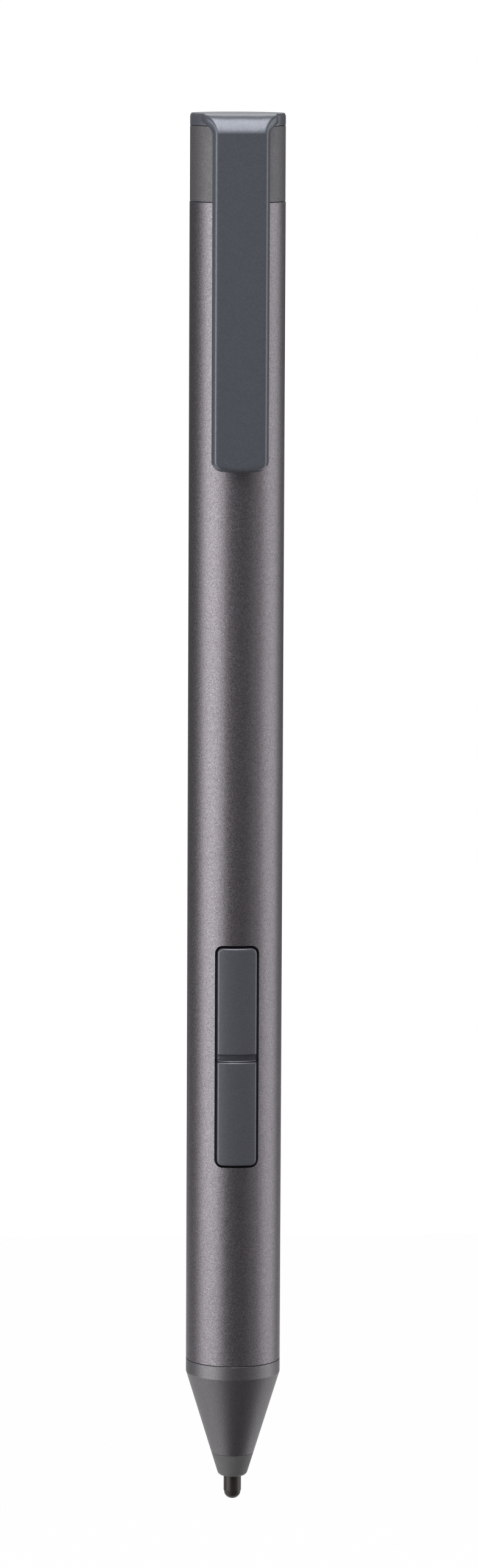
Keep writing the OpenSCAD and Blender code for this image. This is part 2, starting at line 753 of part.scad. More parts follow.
module battery_spring() color("#c9ccd0")
    coil(battery_spring_d / 2, battery_spring_wire, z_spring0, z_spring1, battery_spring_turns);

// Cup that the battery spring presses, on a ledge inside the cap
module cap_contact() color("#c9a860") {
    r = spigot_bore_r - run_gap;
    rod(r, z_cap_contact0, z_cap_contact1);
    pipe(r, r - cap_contact_t, z_cap_contact1 - cap_contact_rim, z_cap_contact0);
}

// Sleeve in the barrel's diameter over a threaded spigot, with a web that the plate screws to
module cap_sleeve() color("#75737a") {
    c = edge_chamfer;
    ledge_z = z_cap_contact1 + run_gap;
    rotate_extrude()
        polygon([
            [spigot_bore_r, z_spigot0], [spigot_r - c, z_spigot0], [spigot_r, z_spigot0 + c],
            [spigot_r, z_sleeve0], [cap_r - c, z_sleeve0], [cap_r, z_sleeve0 + c],
            [cap_r, z_sleeve1 - c], [cap_r - c, z_sleeve1], [boss_hole_r, z_sleeve1],
            [boss_hole_r, z_web0], [cap_chamber_d / 2, z_web0], [cap_chamber_d / 2, ledge_z],
            [spigot_bore_r, ledge_z]
        ]);
}

// Front outline of the clip from its lower end up to the flared root
function clip_front() =
    let (hw = clip_w / 2, r = clip_corner_r, flat = z_clip0 + clip_end_bow)
    let (bow_r = ((hw - r) * (hw - r) + clip_end_bow * clip_end_bow) / (2 * clip_end_bow))
    let (sweep = asin((hw - r) / bow_r), steps = 2 * corner_steps)
    let (half = [for (i = [0:steps])
        let (t = i / steps)
        [hw + clip_flare * (1 - cos(180 * t)) / 2, z_top - clip_flare_len * (1 - t)]])
    concat(
        arc(0, z_clip0 + bow_r, bow_r, -90 - sweep, -90 + sweep),
        arc(hw - r, flat + r, r, -90, 0),
        half,
        [for (i = [steps:-1:0]) [-half[i][0], half[i][1]]],
        arc(r - hw, flat + r, r, 180, 270)
    );

// The cap's round top plate, and the root of the clip that bends down from it
module cap_plate() color("#63666d") {
    rim = plate_rim_r;
    root_w = clip_w + 2 * clip_flare;
    boss_bottom = z_boss0;
    difference() {
        union() {
            rotate_extrude()
                polygon(concat(
                    [[0, z_plate0], [cap_r, z_plate0]],
                    arc(cap_r - rim, z_top - rim, rim, 0, 90),
                    [[0, z_top]]
                ));
            rod(boss_d / 2, boss_bottom, z_plate0 + plate_t / 2, $fn = small_fn);
        }
        rod(screw_d / 2, boss_bottom - overrun, z_plate0, $fn = small_fn);
    }
    intersection() {
        union() {
            block(root_w, y_bend, 0, z_top - clip_t, z_top);
            translate([0, y_bend, z_bend])
                rotate([0, -90, 0])
                    rotate([0, 0, -90])
                        rotate_extrude(angle = 90)
                            translate([clip_bend_r - clip_t, -root_w / 2])
                                square([clip_t, root_w]);
            block(root_w, y_clip_out, y_clip_in, z_clip_cut, z_bend);
        }
        from_front(y_clip_out - overrun, overrun)
            polygon(clip_front());
    }
}

// The clip's straight blade, with rounded front edges and a rounded lower end
module clip_arm() color("#63666d") {
    hw = clip_w / 2;
    e = clip_edge_r;
    intersection() {
        translate([0, 0, z_clip0])
            linear_extrude(height = z_clip_cut - run_gap - z_clip0)
                polygon(concat(
                    [[hw, y_clip_in], [-hw, y_clip_in]],
                    arc(e - hw, y_clip_out + e, e, 180, 270),
                    arc(hw - e, y_clip_out + e, e, 270, 360)
                ));
        from_front(y_clip_out - overrun, y_clip_in + overrun)
            polygon(clip_front());
    }
}

module clip_screw() color("#9a9ca0") {
    head_top = z_web0 - seat_gap;
    difference() {
        union() {
            rod(screw_head_d / 2, head_top - screw_head_h, head_top, $fn = small_fn);
            rod(screw_d / 2 - seat_gap, head_top - screw_head_h / 2, z_plate0 - run_gap,
                $fn = small_fn);
        }
        rod(screw_hex_w / sqrt(3), head_top - screw_head_h - overrun,
            head_top - screw_head_h + screw_hex_depth, $fn = 6);
    }
}

barrel();
nose_cone();
tip_collar();
tip_electrode();
inner_frame();
circuit_board();
control_chips();
board_parts();
upper_switch();
lower_switch();
earth_leaf();
battery_contact();
sensor_housing();
force_sensor();
sensor_pad();
sensor_flex();
nib_holder();
nib_spring();
nib();
upper_button();
upper_stem();
lower_button();
lower_stem();
battery_jacket();
battery_can();
battery_core();
battery_nub();
battery_seal();
battery_spring();
cap_contact();
cap_sleeve();
cap_plate();
clip_screw();
clip_arm();
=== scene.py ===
# %% [markdown]
# # A stylus pen in satin metal
# The pen is a drawn aluminium tube with two keys in one long slot, a tapered nose with a dark nib,
# and a screw-on tail cap whose top plate bends down into a pocket clip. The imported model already
# holds every piece at its real size, so it is loaded first and stays fixed. The lesson then makes
# finer skins for the pieces that show, and a finish for each one.

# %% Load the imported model
import math

import bmesh
import bpy
from mathutils import Matrix, Vector


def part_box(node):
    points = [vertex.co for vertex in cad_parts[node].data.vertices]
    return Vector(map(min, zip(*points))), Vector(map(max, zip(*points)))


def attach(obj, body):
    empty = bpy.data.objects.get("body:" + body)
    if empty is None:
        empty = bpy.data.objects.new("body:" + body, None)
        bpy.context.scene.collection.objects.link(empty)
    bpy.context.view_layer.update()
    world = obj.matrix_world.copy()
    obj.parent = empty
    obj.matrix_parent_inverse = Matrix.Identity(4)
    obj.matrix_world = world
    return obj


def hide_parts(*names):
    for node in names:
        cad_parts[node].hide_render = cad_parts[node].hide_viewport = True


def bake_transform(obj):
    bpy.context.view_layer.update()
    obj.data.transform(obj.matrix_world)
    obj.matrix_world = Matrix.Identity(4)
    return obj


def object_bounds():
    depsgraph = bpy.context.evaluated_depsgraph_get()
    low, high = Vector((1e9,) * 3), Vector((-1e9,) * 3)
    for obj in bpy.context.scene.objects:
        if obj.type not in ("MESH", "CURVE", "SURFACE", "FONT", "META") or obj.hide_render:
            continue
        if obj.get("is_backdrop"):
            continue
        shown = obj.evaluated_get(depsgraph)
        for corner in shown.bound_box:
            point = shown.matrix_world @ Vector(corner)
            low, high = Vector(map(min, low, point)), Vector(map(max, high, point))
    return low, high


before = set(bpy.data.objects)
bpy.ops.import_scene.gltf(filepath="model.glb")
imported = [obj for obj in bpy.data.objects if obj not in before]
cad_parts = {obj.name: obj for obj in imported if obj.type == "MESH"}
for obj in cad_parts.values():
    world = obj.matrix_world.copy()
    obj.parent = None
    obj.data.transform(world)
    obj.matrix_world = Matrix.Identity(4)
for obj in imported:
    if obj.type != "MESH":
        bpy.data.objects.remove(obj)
cad_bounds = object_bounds()
print("nodes:", len(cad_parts))

# %% [markdown]
# ## The units and a few driving sizes
# Blender works in metres and a pen is easier to think of in millimetres, so every typed size is a
# number times `MM`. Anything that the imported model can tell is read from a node's box, so that the
# skins stay on the solids. Only what a box can't tell, such as a wall, a fillet or the slot's
# length, is typed. A parting line that shows is open by `seam`, and one that should look closed by
# `hairline`.

# %% Sizes read from the boxes
MM = 0.001
WELD = 0.0005 * MM
seam = 0.05 * MM
hairline = 0.02 * MM


def low(node):
    """The lowest corner of a node's box."""
    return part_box(node)[0]


def high(node):
    """The highest corner of a node's box."""
    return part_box(node)[1]


barrel_wall = 0.5 * MM
barrel_r = high("barrel").x
bore_r = barrel_r - barrel_wall
barrel_z = (low("barrel").z, high("barrel").z)
cap_r = high("cap_sleeve").x
pen_top = high("cap_plate").z
print(f"barrel {2 * barrel_r / MM:.2f} mm across, pen {pen_top / MM:.1f} mm long")

# %% [markdown]
# ## The camera
# The photograph was taken from about 0.6 metres with a long lens, from a little above the pen's top
# and looking down at its middle by 7.7 degrees. The pen is turned a few degrees, which shows as the
# keys and the clip sitting right of the middle. The pen could be turned, but turning the camera
# round its axis does the same and leaves the pen square in its own frame.

# %% Set the camera
camera_back = 595.8 * MM
camera_side = 0.38 * MM
camera_height = 154 * MM
look_down = math.radians(7.72)
camera_roll = math.radians(0.246)
camera_swing = math.radians(3.5)
focal_px = 9874
photo_px = (785, 2576)
sensor_mm = 36


def set_camera():
    """A camera in the place and with the lens of the one that took the photograph."""
    data = bpy.data.cameras.new("camera")
    data.sensor_width = sensor_mm
    data.lens = focal_px * sensor_mm / max(photo_px)
    camera = bpy.data.objects.new("camera", data)
    bpy.context.scene.collection.objects.link(camera)
    tilt = Matrix.Rotation(math.pi / 2 - look_down, 4, "X")
    roll = Matrix.Rotation(camera_roll, 4, "Z")
    place = Matrix.Translation((camera_side, -camera_back, camera_height))
    camera.matrix_world = Matrix.Rotation(-camera_swing, 4, "Z") @ place @ tilt @ roll
    bpy.context.scene.camera = camera
    return camera


camera = set_camera()
print(f"lens {camera.data.lens:.1f} mm at", [round(c / MM) for c in camera.matrix_world.translation])

# %% [markdown]
# ## Node helpers for the finishes
# Every finish is a Principled shader whose colour, roughness and relief vary a little, as real
# paint, anodising and moulded plastic do. The patterns read Object coordinates, which are metres
# here, so a scale of 8000 means eight cells in a millimetre. An image would show its pixels and its
# seams so close up, and a pattern made of nodes has neither. `flakes` and `cells` make the grain of
# metal and paint, and `clouds` makes soft unevenness. `tinted`, `glossed` and `relief` then let such
# a pattern vary the colour, the roughness and the height.

# %% Start a material
def surface(name, colour, metallic, roughness):
    """A new material with a Principled shader, and the object coordinates its patterns read."""
    material = bpy.data.materials.new(name)
    material.use_nodes = True
    tree = material.node_tree
    shader = tree.nodes["Principled BSDF"]
    shader.inputs["Base Color"].default_value = (*colour, 1)
    shader.inputs["Metallic"].default_value = metallic
    shader.inputs["Roughness"].default_value = roughness
    where = tree.nodes.new("ShaderNodeTexCoord").outputs["Object"]
    material.diffuse_color = (*colour, 1)
    return material, tree, shader, where


def spread(tree, value, least, most, floor=0.0, ceiling=1.0):
    """Maps a value between floor and ceiling onto the range from least to most."""
    node = tree.nodes.new("ShaderNodeMapRange")
    for name, number in zip(("From Min", "From Max", "To Min", "To Max"), (floor, ceiling, least, most)):
        node.inputs[name].default_value = number
    tree.links.new(value, node.inputs["Value"])
    return node.outputs["Result"]


def combined(tree, operation, first, second):
    """The product, the larger or another combination of two values."""
    node = tree.nodes.new("ShaderNodeMath")
    node.operation = operation
    tree.links.new(first, node.inputs[0])
    tree.links.new(second, node.inputs[1])
    return node.outputs[0]


print("helpers: surface, spread, combined")

# %% Make patterns
noise_floor, noise_ceiling = 0.3, 0.7


def flakes(tree, where, scale):
    """A pattern of cells: the distance to each cell's middle, and one random value for each cell."""
    node = tree.nodes.new("ShaderNodeTexVoronoi")
    node.inputs["Scale"].default_value = scale
    tree.links.new(where, node.inputs["Vector"])
    split = tree.nodes.new("ShaderNodeSeparateColor")
    tree.links.new(node.outputs["Color"], split.inputs["Color"])
    return node.outputs["Distance"], split.outputs["Red"]


def cells(tree, where, scale, least, most):
    """One random value between least and most for each cell of a fine pattern."""
    return spread(tree, flakes(tree, where, scale)[1], least, most)


def clouds(tree, where, scale, least, most, detail=3.0):
    """Soft noise from least to most, which it reaches at the noise's own usual limits."""
    node = tree.nodes.new("ShaderNodeTexNoise")
    node.inputs["Scale"].default_value = scale
    node.inputs["Detail"].default_value = detail
    tree.links.new(where, node.inputs["Vector"])
    return spread(tree, node.outputs["Fac"], least, most, noise_floor, noise_ceiling)


print("helpers: flakes, cells, clouds")

# %% Let a pattern vary the surface
def tinted(tree, shader, factor):
    """Scales the shader's base colour by a value that varies over the surface."""
    node = tree.nodes.new("ShaderNodeVectorMath")
    node.operation = "SCALE"
    node.inputs[0].default_value = shader.inputs["Base Color"].default_value[:3]
    tree.links.new(factor, node.inputs["Scale"])
    tree.links.new(node.outputs["Vector"], shader.inputs["Base Color"])


def glossed(tree, shader, roughness):
    """Lets the shader's roughness vary over the surface."""
    tree.links.new(roughness, shader.inputs["Roughness"])


def relief(tree, shader, height, depth):
    """Raises the surface by up to depth, in metres, where height is 1."""
    node = tree.nodes.new("ShaderNodeBump")
    node.inputs["Distance"].default_value = depth
    tree.links.new(height, node.inputs["Height"])
    tree.links.new(node.outputs["Normal"], shader.inputs["Normal"])


print("helpers: tinted, glossed, relief")

# %% [markdown]
# ## Anodised aluminium
# The barrel and the nose are bead-blasted and anodised: a soft metallic grey with a hint of violet
# and a fine sparkle, because each blasted dimple mirrors another bit of the studio. A fully
# metallic shader gives the two long highlights and the dark stripe between them. The sparkle comes
# from small cells that change the colour a little and from a relief a few thousandths of a
# millimetre deep. The nose is turned, so its grain is finer.

# %% The metal finishes
soft_scale = 0.7
gloss_scale = 0.4
gloss_swing = 0.04


def blasted_metal(name, colour, metallic, roughness, grain, contrast, depth):
    """Blasted metal, or paint that looks like it, with a grain of so many cells to the metre."""
    material, tree, shader, where = surface(name, colour, metallic, roughness)
    fine = cells(tree, where, grain, 1 - contrast, 1 + contrast)
    soft = clouds(tree, where, grain * soft_scale, 1 - contrast, 1 + contrast, 1.0)
    tinted(tree, shader, combined(tree, "MULTIPLY", fine, soft))
    least, most = roughness - gloss_swing, roughness + gloss_swing
    glossed(tree, shader, clouds(tree, where, grain * gloss_scale, least, most, 1.0))
    relief(tree, shader, clouds(tree, where, grain, 0, 1, 1.0), depth)
    return material


barrel_metal = blasted_metal("anodised_barrel", (0.195, 0.180, 0.197), metallic=1.0, roughness=0.42,
                             grain=11500, contrast=0.17, depth=0.003 * MM)
nose_metal = blasted_metal("anodised_nose", (0.180, 0.173, 0.182), metallic=1.0, roughness=0.46,
                           grain=18000, contrast=0.12, depth=0.0015 * MM)
print("metals:", barrel_metal.name, nose_metal.name)

# %% [markdown]
# ## Painted and moulded plastic
# The keys and the clip are painted in a satin grey with a trace of metal flake: mostly a plain
# colour, with a bright speck here and there. A clear coat in the shader would be another way, but it
# adds a second, sharper highlight, and the photograph shows none. The cap's paint has the same grain
# as the barrel, so it reuses that finish with less metal in it. The collar is bare moulded plastic.
# The nib is a dark hard plastic, polished by its mould, with a faint brown in it.

# %% The paint finishes
speck_core, speck_rim = 0.08, 0.15
speckless_share = 0.35
speck_gain = 0.55
paint_relief, relief_patch = 0.0015 * MM, 2
paint_gloss = (-0.02, 0.03)
paint_gloss_patch = 4


def satin_paint(name, colour, metallic, roughness, grain, contrast, specks):
    """Satin paint with a fine grain, and faint bright flakes of unlike strength scattered in it."""
    material, tree, shader, where = surface(name, colour, metallic, roughness)
    fine = cells(tree, where, grain, 1 - contrast, 1 + contrast)
    distance, value = flakes(tree, where, specks)
    spot = spread(tree, distance, 1.0, 0.0, speck_core, speck_rim)
    strength = spread(tree, value, 0.0, speck_gain, speckless_share, 1.0)
    bright = spread(tree, combined(tree, "MULTIPLY", spot, strength), 1.0, 2.0)
    tinted(tree, shader, combined(tree, "MULTIPLY", fine, bright))
    least, most = (roughness + change for change in paint_gloss)
    glossed(tree, shader, clouds(tree, where, grain / paint_gloss_patch, least, most))
    relief(tree, shader, clouds(tree, where, grain / relief_patch, 0, 1), paint_relief)
    return material


clip_paint = satin_paint("clip_paint", (0.104, 0.111, 0.132), metallic=0.42, roughness=0.33,
                         grain=9000, contrast=0.09, specks=2300)
key_paint = satin_paint("key_paint", (0.112, 0.115, 0.132), metallic=0.50, roughness=0.38,
                        grain=9000, contrast=0.08, specks=2300)
cap_paint = blasted_metal("cap_paint", (0.131, 0.127, 0.135), metallic=0.70, roughness=0.55,
                          grain=11500, contrast=0.12, depth=0.003 * MM)
print("paints:", clip_paint.name, key_paint.name, cap_paint.name)

# %% The plastic finish
plastic_swing = 0.06
tint_patch, gloss_patch = 6, 10


def moulded_plastic(name, colour, roughness, grain, depth):
    """Moulded plastic with the even, very fine grain of a blasted mould, in patches of many grains."""
    material, tree, shader, where = surface(name, colour, 0.0, roughness)
    tinted(tree, shader, clouds(tree, where, grain / tint_patch, 1 - plastic_swing, 1 + plastic_swing))
    least, most = roughness - gloss_swing, roughness + gloss_swing
    glossed(tree, shader, clouds(tree, where, grain / gloss_patch, least, most))
    relief(tree, shader, clouds(tree, where, grain, 0, 1), depth)
    return material


collar_plastic = moulded_plastic("collar_plastic", (0.111, 0.110, 0.113), 0.52, 6000, 0.002 * MM)
nib_plastic = moulded_plastic("nib_plastic", (0.018, 0.013, 0.011), 0.36, 4000, 0.001 * MM)
print("plastics:", collar_plastic.name, nib_plastic.name)

# %% [markdown]
# ## Turned pieces
# Barrel, nose, collar, nib, cap and cell are all round, so one helper turns them on a lathe: an
# outline in the plane of the axis is spun a full turn with `use_merge`, which joins the last step to
# the first. A hollow piece has a closed outline. A solid one starts and ends on the axis, where its
# points meet in one pole when the doubles are merged. Each corner carries the rounding of its edge,
# and the ring of edges that it leaves is bevelled after the spin, as a turner breaks an edge.
# Cylinders cut from each other with Booleans would do too, but one outline shows every step and bore
# of a piece at a glance.

# %% The lathe
support_reach = 1.6
support_room = 3


def soften(bm, edges, rounding, segments=6):
    """Rounds edges with a fillet of about the given size."""
    bmesh.ops.bevel(bm, geom=edges, offset=rounding, offset_type="OFFSET", segments=segments,
                    profile=0.5, affect="EDGES", material=-1, clamp_overlap=True)


def on_ring(vert, radius, z):
    """Whether a vertex lies on the circle of that radius at that height."""
    return abs(vert.co.z - z) < WELD and abs(math.hypot(vert.co.x, vert.co.y) - radius) < WELD


def supported(outline, closed):
    """Adds a point on each long side next to a rounded corner, which keeps the side's shade straight."""
    points = []
    for i, corner in enumerate(outline):
        here, reach = Vector(corner[:2]), support_reach * corner[2]
        beside = []
        for step, exists in ((-1, closed or i > 0), (1, closed or i < len(outline) - 1)):
            other = Vector(outline[(i + step) % len(outline)][:2])
            far = reach and exists and (other - here).length > support_room * reach
            beside.append([(*here.lerp(other, reach / (other - here).length), 0)] if far else [])
        points += beside[0] + [corner] + beside[1]
    return points


def turned(outline, steps=128):
    """Spins an outline of (radius, height, rounding) corners about the pen's axis."""
    bm = bmesh.new()
    closed = outline[0][0] > 0
    corners = [bm.verts.new((radius, 0, z)) for radius, z, rounding in supported(outline, closed)]
    pairs = list(zip(corners, corners[1:])) + ([(corners[-1], corners[0])] if closed else [])
    sides = [bm.edges.new(pair) for pair in pairs]
    bmesh.ops.spin(bm, geom=corners + sides, cent=(0, 0, 0), axis=(0, 0, 1), angle=2 * math.pi,
                   steps=steps, use_merge=True)
    bmesh.ops.remove_doubles(bm, verts=bm.verts, dist=WELD)
    bmesh.ops.recalc_face_normals(bm, faces=bm.faces)
    for radius, z, rounding in outline:
        if rounding:
            ring = [e for e in bm.edges if all(on_ring(v, radius, z) for v in e.verts)]
            soften(bm, ring, rounding)
    return bm


print("helpers: soften, turned")

# %% [markdown]
# A finished mesh becomes an object at the origin, with its place in its vertices. The object could be
# moved into place instead, but this way the patterns start from one point on every piece. It gets a
# smooth shade with sharp edges kept and the material, and the nodes that it stands for are hidden. A
# rigid piece rides on a body.

# %% From mesh to piece
sharp_angle = math.radians(16)


def piece(name, bm, material, nodes, body=None, sharp=sharp_angle):
    """Makes an object of a finished mesh, hides the nodes it replaces and rides it on a body."""
    mesh = bpy.data.meshes.new(name)
    bm.to_mesh(mesh)
    bm.free()
    mesh.materials.append(material)
    mesh.polygons.foreach_set("use_smooth", [True] * len(mesh.polygons))
    mesh.set_sharp_from_angle(angle=sharp)
    made = bpy.data.objects.new(name, mesh)
    bpy.context.scene.collection.objects.link(made)
    if nodes:
        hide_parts(*nodes)
    if body:
        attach(made, body)
    print(f"{name}: {len(mesh.polygons)} faces")
    return made


print("helper: piece, edges sharp from", round(math.degrees(sharp_angle)), "degrees")

# %% [markdown]
# ## The barrel
# The barrel is a tube with a slot milled through its front. A mill leaves two flat, parallel walls,
# so the slot is cut as a mill would: planes cut the tube along the slot's sides and ends and along
# short chords round its corners, the faces inside are taken out, and the outer and inner rims are
# bridged. A Boolean would cut it too, but leaves long thin faces that shade badly on a round tube. A
# bisecting plane only needs the faces near the slot, which keeps the rest in long clean strips.

# %% Turn the tube
edge_break = 0.04 * MM
barrel_bm = turned([
    (bore_r, barrel_z[0], 0), (barrel_r, barrel_z[0], edge_break),
    (barrel_r, barrel_z[1], edge_break), (bore_r, barrel_z[1], 0),
], steps=192)
print("tube:", len(barrel_bm.faces), "faces")

# %% Plan the slot
slot_half = 2.2 * MM
slot_corner = 0.8 * MM
slot_start = low("barrel").z + 20.37 * MM
slot_len = 22.5 * MM
slot_z = (slot_start, slot_start + slot_len)
slot_margin = 1.2
corner_cuts = 6


def cut(bm, point, normal, wanted=lambda middle: True):
    """Cuts the faces whose middle is wanted along a plane."""
    faces = [f for f in bm.faces if wanted(f.calc_center_median())]
    edges = {e for f in faces for e in f.edges}
    verts = {v for f in faces for v in f.verts}
    bmesh.ops.bisect_plane(bm, geom=faces + list(edges) + list(verts), dist=WELD / 10,
                           plane_co=point, plane_no=normal)


def chords(half, ends, corner, cuts):
    """Planes along the rounded corners of an upright slot: a point and a normal for each chord."""
    planes = []
    for side in (-1, 1):
        for end, way in zip(ends, (-1, 1)):
            centre = Vector((side * (half - corner), 0, end - way * corner))
            for i in range(cuts):
                angle = (i + 0.5) / cuts * math.pi / 2
                normal = Vector((side * math.cos(angle), 0, way * math.sin(angle)))
                reach = corner * math.cos(math.pi / 4 / cuts)
                planes.append((centre + normal * reach, normal, centre))
    return planes


corner_planes = chords(slot_half, slot_z, slot_corner, corner_cuts)
print("slot", round(slot_len / MM, 2), "mm long, with", len(corner_planes), "chords round its corners")

# %% Mill the slot
def mill_slot(bm, half, ends, corner, planes):
    """Cuts an upright slot through the front of a tube, with planes along its rounded corners."""
    def beside(c):
        return c.y < 0 and abs(c.x) < slot_margin * half

    def level(c):
        return c.y < 0 and ends[0] < c.z < ends[1]

    def within(c):
        return level(c) and abs(c.x) < half

    def milled(c):
        flat = Vector((c.x, 0, c.z))
        return within(c) and all((flat - point) @ normal < 0 for point, normal, centre in planes)

    for z in ends:
        cut(bm, (0, 0, z), (0, 0, 1), beside)
    for x in (-half, half):
        cut(bm, (x, 0, 0), (1, 0, 0), lambda c: level(c) and beside(c))
    for z in (ends[0] + corner, ends[1] - corner):
        cut(bm, (0, 0, z), (0, 0, 1), within)
    for point, normal, centre in planes:
        cut(bm, point, normal, lambda c: within(c) and (c.x - centre.x) * normal.x > 0
            and (c.z - centre.z) * normal.z > 0)
    waste = [f for f in bm.faces if milled(f.calc_center_median())]
    bmesh.ops.delete(bm, geom=waste, context="FACES")
    rims = [e for e in bm.edges if e.is_boundary]
    bmesh.ops.bridge_loops(bm, edges=rims)
    bmesh.ops.recalc_face_normals(bm, faces=bm.faces)
    return len(waste)


print("faces milled out:", mill_slot(barrel_bm, slot_half, slot_z, slot_corner, corner_planes))

# %% [markdown]
# Where the slot meets the outside, a maker never leaves a knife edge. The rim of the slot is found
# by its sharp fold and its place on the outer surface, and gets a very small round. A Bevel modifier
# limited by angle would be quicker, but it would round the inner rim and the tube's ends as well.

# %% Break the slot's edge
slot_edge = 0.04 * MM
rim_fold = math.radians(40)


def slot_rim(edge):
    """Whether an edge lies on the slot's outer rim."""
    outside = all(math.hypot(v.co.x, v.co.y) > barrel_r - 4 * WELD for v in edge.verts)
    place = (edge.verts[0].co + edge.verts[1].co) / 2
    beside = abs(place.x) < slot_margin * slot_half and slot_z[0] - MM < place.z < slot_z[1] + MM
    return outside and beside and place.y < 0 and edge.calc_face_angle(0) > rim_fold


rim_edges = [e for e in barrel_bm.edges if slot_rim(e)]
print("edges round the slot:", len(rim_edges))
soften(barrel_bm, rim_edges, slot_edge, segments=2)
piece("barrel_tube", barrel_bm, barrel_metal, ["barrel"], "barrel")

# %% [markdown]
# ## The nose
# The nose cone is one turned piece: a short band in the barrel's diameter, a straight taper, and a
# spigot that sits inside the barrel. The plastic collar carries the taper on and ends in a rounded
# mouth round the nib. The crease between band and taper is crisp on the real pen, so that corner
# gets no round. One cone with a groove would look much the same, but the two are separate pieces that
# sit in each other, so each has its own outline. The collar's taper is worked out from the cone's,
# and the two run on in one line. Three roundings serve most turned edges from here on: `crisp`,
# `light` and `full`.

# %% The nose cone
crisp, light, full = 0.03 * MM, 0.05 * MM, 0.1 * MM
cone_z = low("nose_cone").z
band_z = (13.30 * MM, barrel_z[0] - seam)
nose_top = high("nose_cone").z
cone_tip_r = 2.15 * MM
collar_seat_r = 1.52 * MM
collar_seat_z = 8.95 * MM
housing_seat_r = 3.34 * MM
housing_seat_z = low("sensor_housing").z - hairline
guide_r = 2.0 * MM
nose_spigot_r = bore_r - hairline
cone_bm = turned([
    (collar_seat_r, cone_z, 0), (cone_tip_r, cone_z, crisp), (barrel_r, band_z[0], 0),
    (barrel_r, band_z[1], edge_break), (nose_spigot_r, band_z[1], 0), (nose_spigot_r, nose_top, full),
    (housing_seat_r, nose_top, 0), (housing_seat_r, housing_seat_z, 0), (guide_r, housing_seat_z, 0),
    (guide_r, collar_seat_z, 0), (collar_seat_r, collar_seat_z, 0),
], steps=160)
piece("nose_shell", cone_bm, nose_metal, ["nose_cone"], "barrel")

# %% The collar
collar_z = (low("tip_collar").z, high("tip_collar").z)
collar_top_z = cone_z - hairline
taper = (barrel_r - cone_tip_r) / (band_z[0] - cone_z)
collar_top_r = cone_tip_r - taper * (cone_z - collar_top_z)
collar_foot_r = cone_tip_r - taper * (cone_z - collar_z[0])
collar_spigot_r = collar_seat_r - hairline
mouth_r = 0.945 * MM
mouth_round = 0.36 * MM
lip_round = 0.06 * MM
electrode_seat_r = 1.225 * MM
electrode_seat_z = collar_z[0] + 1.15 * MM
collar_bm = turned([
    (mouth_r, collar_z[0], lip_round), (collar_foot_r, collar_z[0], mouth_round),
    (collar_top_r, collar_top_z, crisp), (collar_spigot_r, collar_top_z, 0),
    (collar_spigot_r, collar_z[1], light), (electrode_seat_r, collar_z[1], 0),
    (electrode_seat_r, electrode_seat_z, 0), (mouth_r, electrode_seat_z, 0),
], steps=128)
piece("nose_collar", collar_bm, collar_plastic, ["tip_collar"], "barrel")

# %% [markdown]
# ## The nib
# The nib is a small turned pin. Its writing end is a dome with a slight step behind it, where the
# mould opens, and its stem runs on up into the holder. A half sphere on a cylinder would show a seam
# where the shades meet, so the dome, a quarter of an ellipse, is part of the turned outline.

# %% The nib
nib_r = high("nib").x
nib_top = high("nib").z
dome_r = 0.83 * MM
dome_len = 0.73 * MM
dome_steps = 14
head_start = dome_len + 0.16 * MM
step_round = 0.02 * MM
head_end = 4.6 * MM
head_round = 0.06 * MM
stem_r = 0.6 * MM
stem_round = 0.08 * MM
dome = []
for i in range(dome_steps + 1):
    angle = i / dome_steps * math.pi / 2
    dome.append((dome_r * math.sin(angle), dome_len * (1 - math.cos(angle)), 0))
nib_bm = turned(dome + [
    (nib_r, head_start, step_round), (nib_r, head_end, head_round), (stem_r, head_end, 0),
    (stem_r, nib_top, stem_round), (0, nib_top, 0),
], steps=96)
piece("writing_nib", nib_bm, nib_plastic, ["nib"], "nib")

# %% [markdown]
# ## The keys
# Each key is a moulded cap with a gently crowned front. It starts as a cube: the four edges that run
# front to back are rounded to the key's outline, then the front outline gets its soft edge. Planes
# cut it into upright columns, and every column is pushed back by the crown's arc, so the edge
# rounding follows the crown. The upper key ends in a cove for the fingernail: the front drops back in
# a quarter of an ellipse and comes forward again to a small lip, which catches the light from above
# as a thin line over the lower key. A subdivision surface would also give a soft block, but not
# corners of a set radius. Behind the barrel's wall a flange keeps the key in.

# %% Start a key as a rounded block
key_gap = 0.25 * MM
key_w = 2 * (slot_half - key_gap)
key_corner = slot_corner - key_gap
key_front = low("lower_button").y
key_back = -2.604 * MM
key_edge = 0.3 * MM
split_corner = 0.15 * MM


def box(bm, low_corner, high_corner):
    """Adds a cube between two corners and returns its vertices."""
    size = Vector(high_corner) - Vector(low_corner)
    middle = (Vector(high_corner) + Vector(low_corner)) / 2
    place = Matrix.Translation(middle) @ Matrix.Diagonal((*size, 1))
    return bmesh.ops.create_cube(bm, size=1, matrix=place)["verts"]


def runs_back(edge):
    """Whether an edge runs straight from front to back."""
    a, b = (v.co for v in edge.verts)
    return abs(a.x - b.x) < WELD and abs(a.z - b.z) < WELD


def key_block(z0, z1, lower_round, upper_round, cove):
    """A key's block between two heights, with its front edge rounded except at the foot of a cove."""
    bm = bmesh.new()
    box(bm, (-key_w / 2, key_front, z0), (key_w / 2, key_back, z1))
    for z, rounding in ((z0, lower_round), (z1, upper_round)):
        corners = [e for e in bm.edges if runs_back(e) and abs(e.verts[0].co.z - z) < WELD]
        soften(bm, corners, rounding, segments=8)
    foot = z0 + WELD if cove else z0 - WELD
    front = [e for e in bm.edges if all(abs(v.co.y - key_front) < WELD for v in e.verts)
             and max(v.co.z for v in e.verts) > foot]
    soften(bm, front, key_edge)
    return bm


print("key", round(key_w / MM, 2), "mm wide")

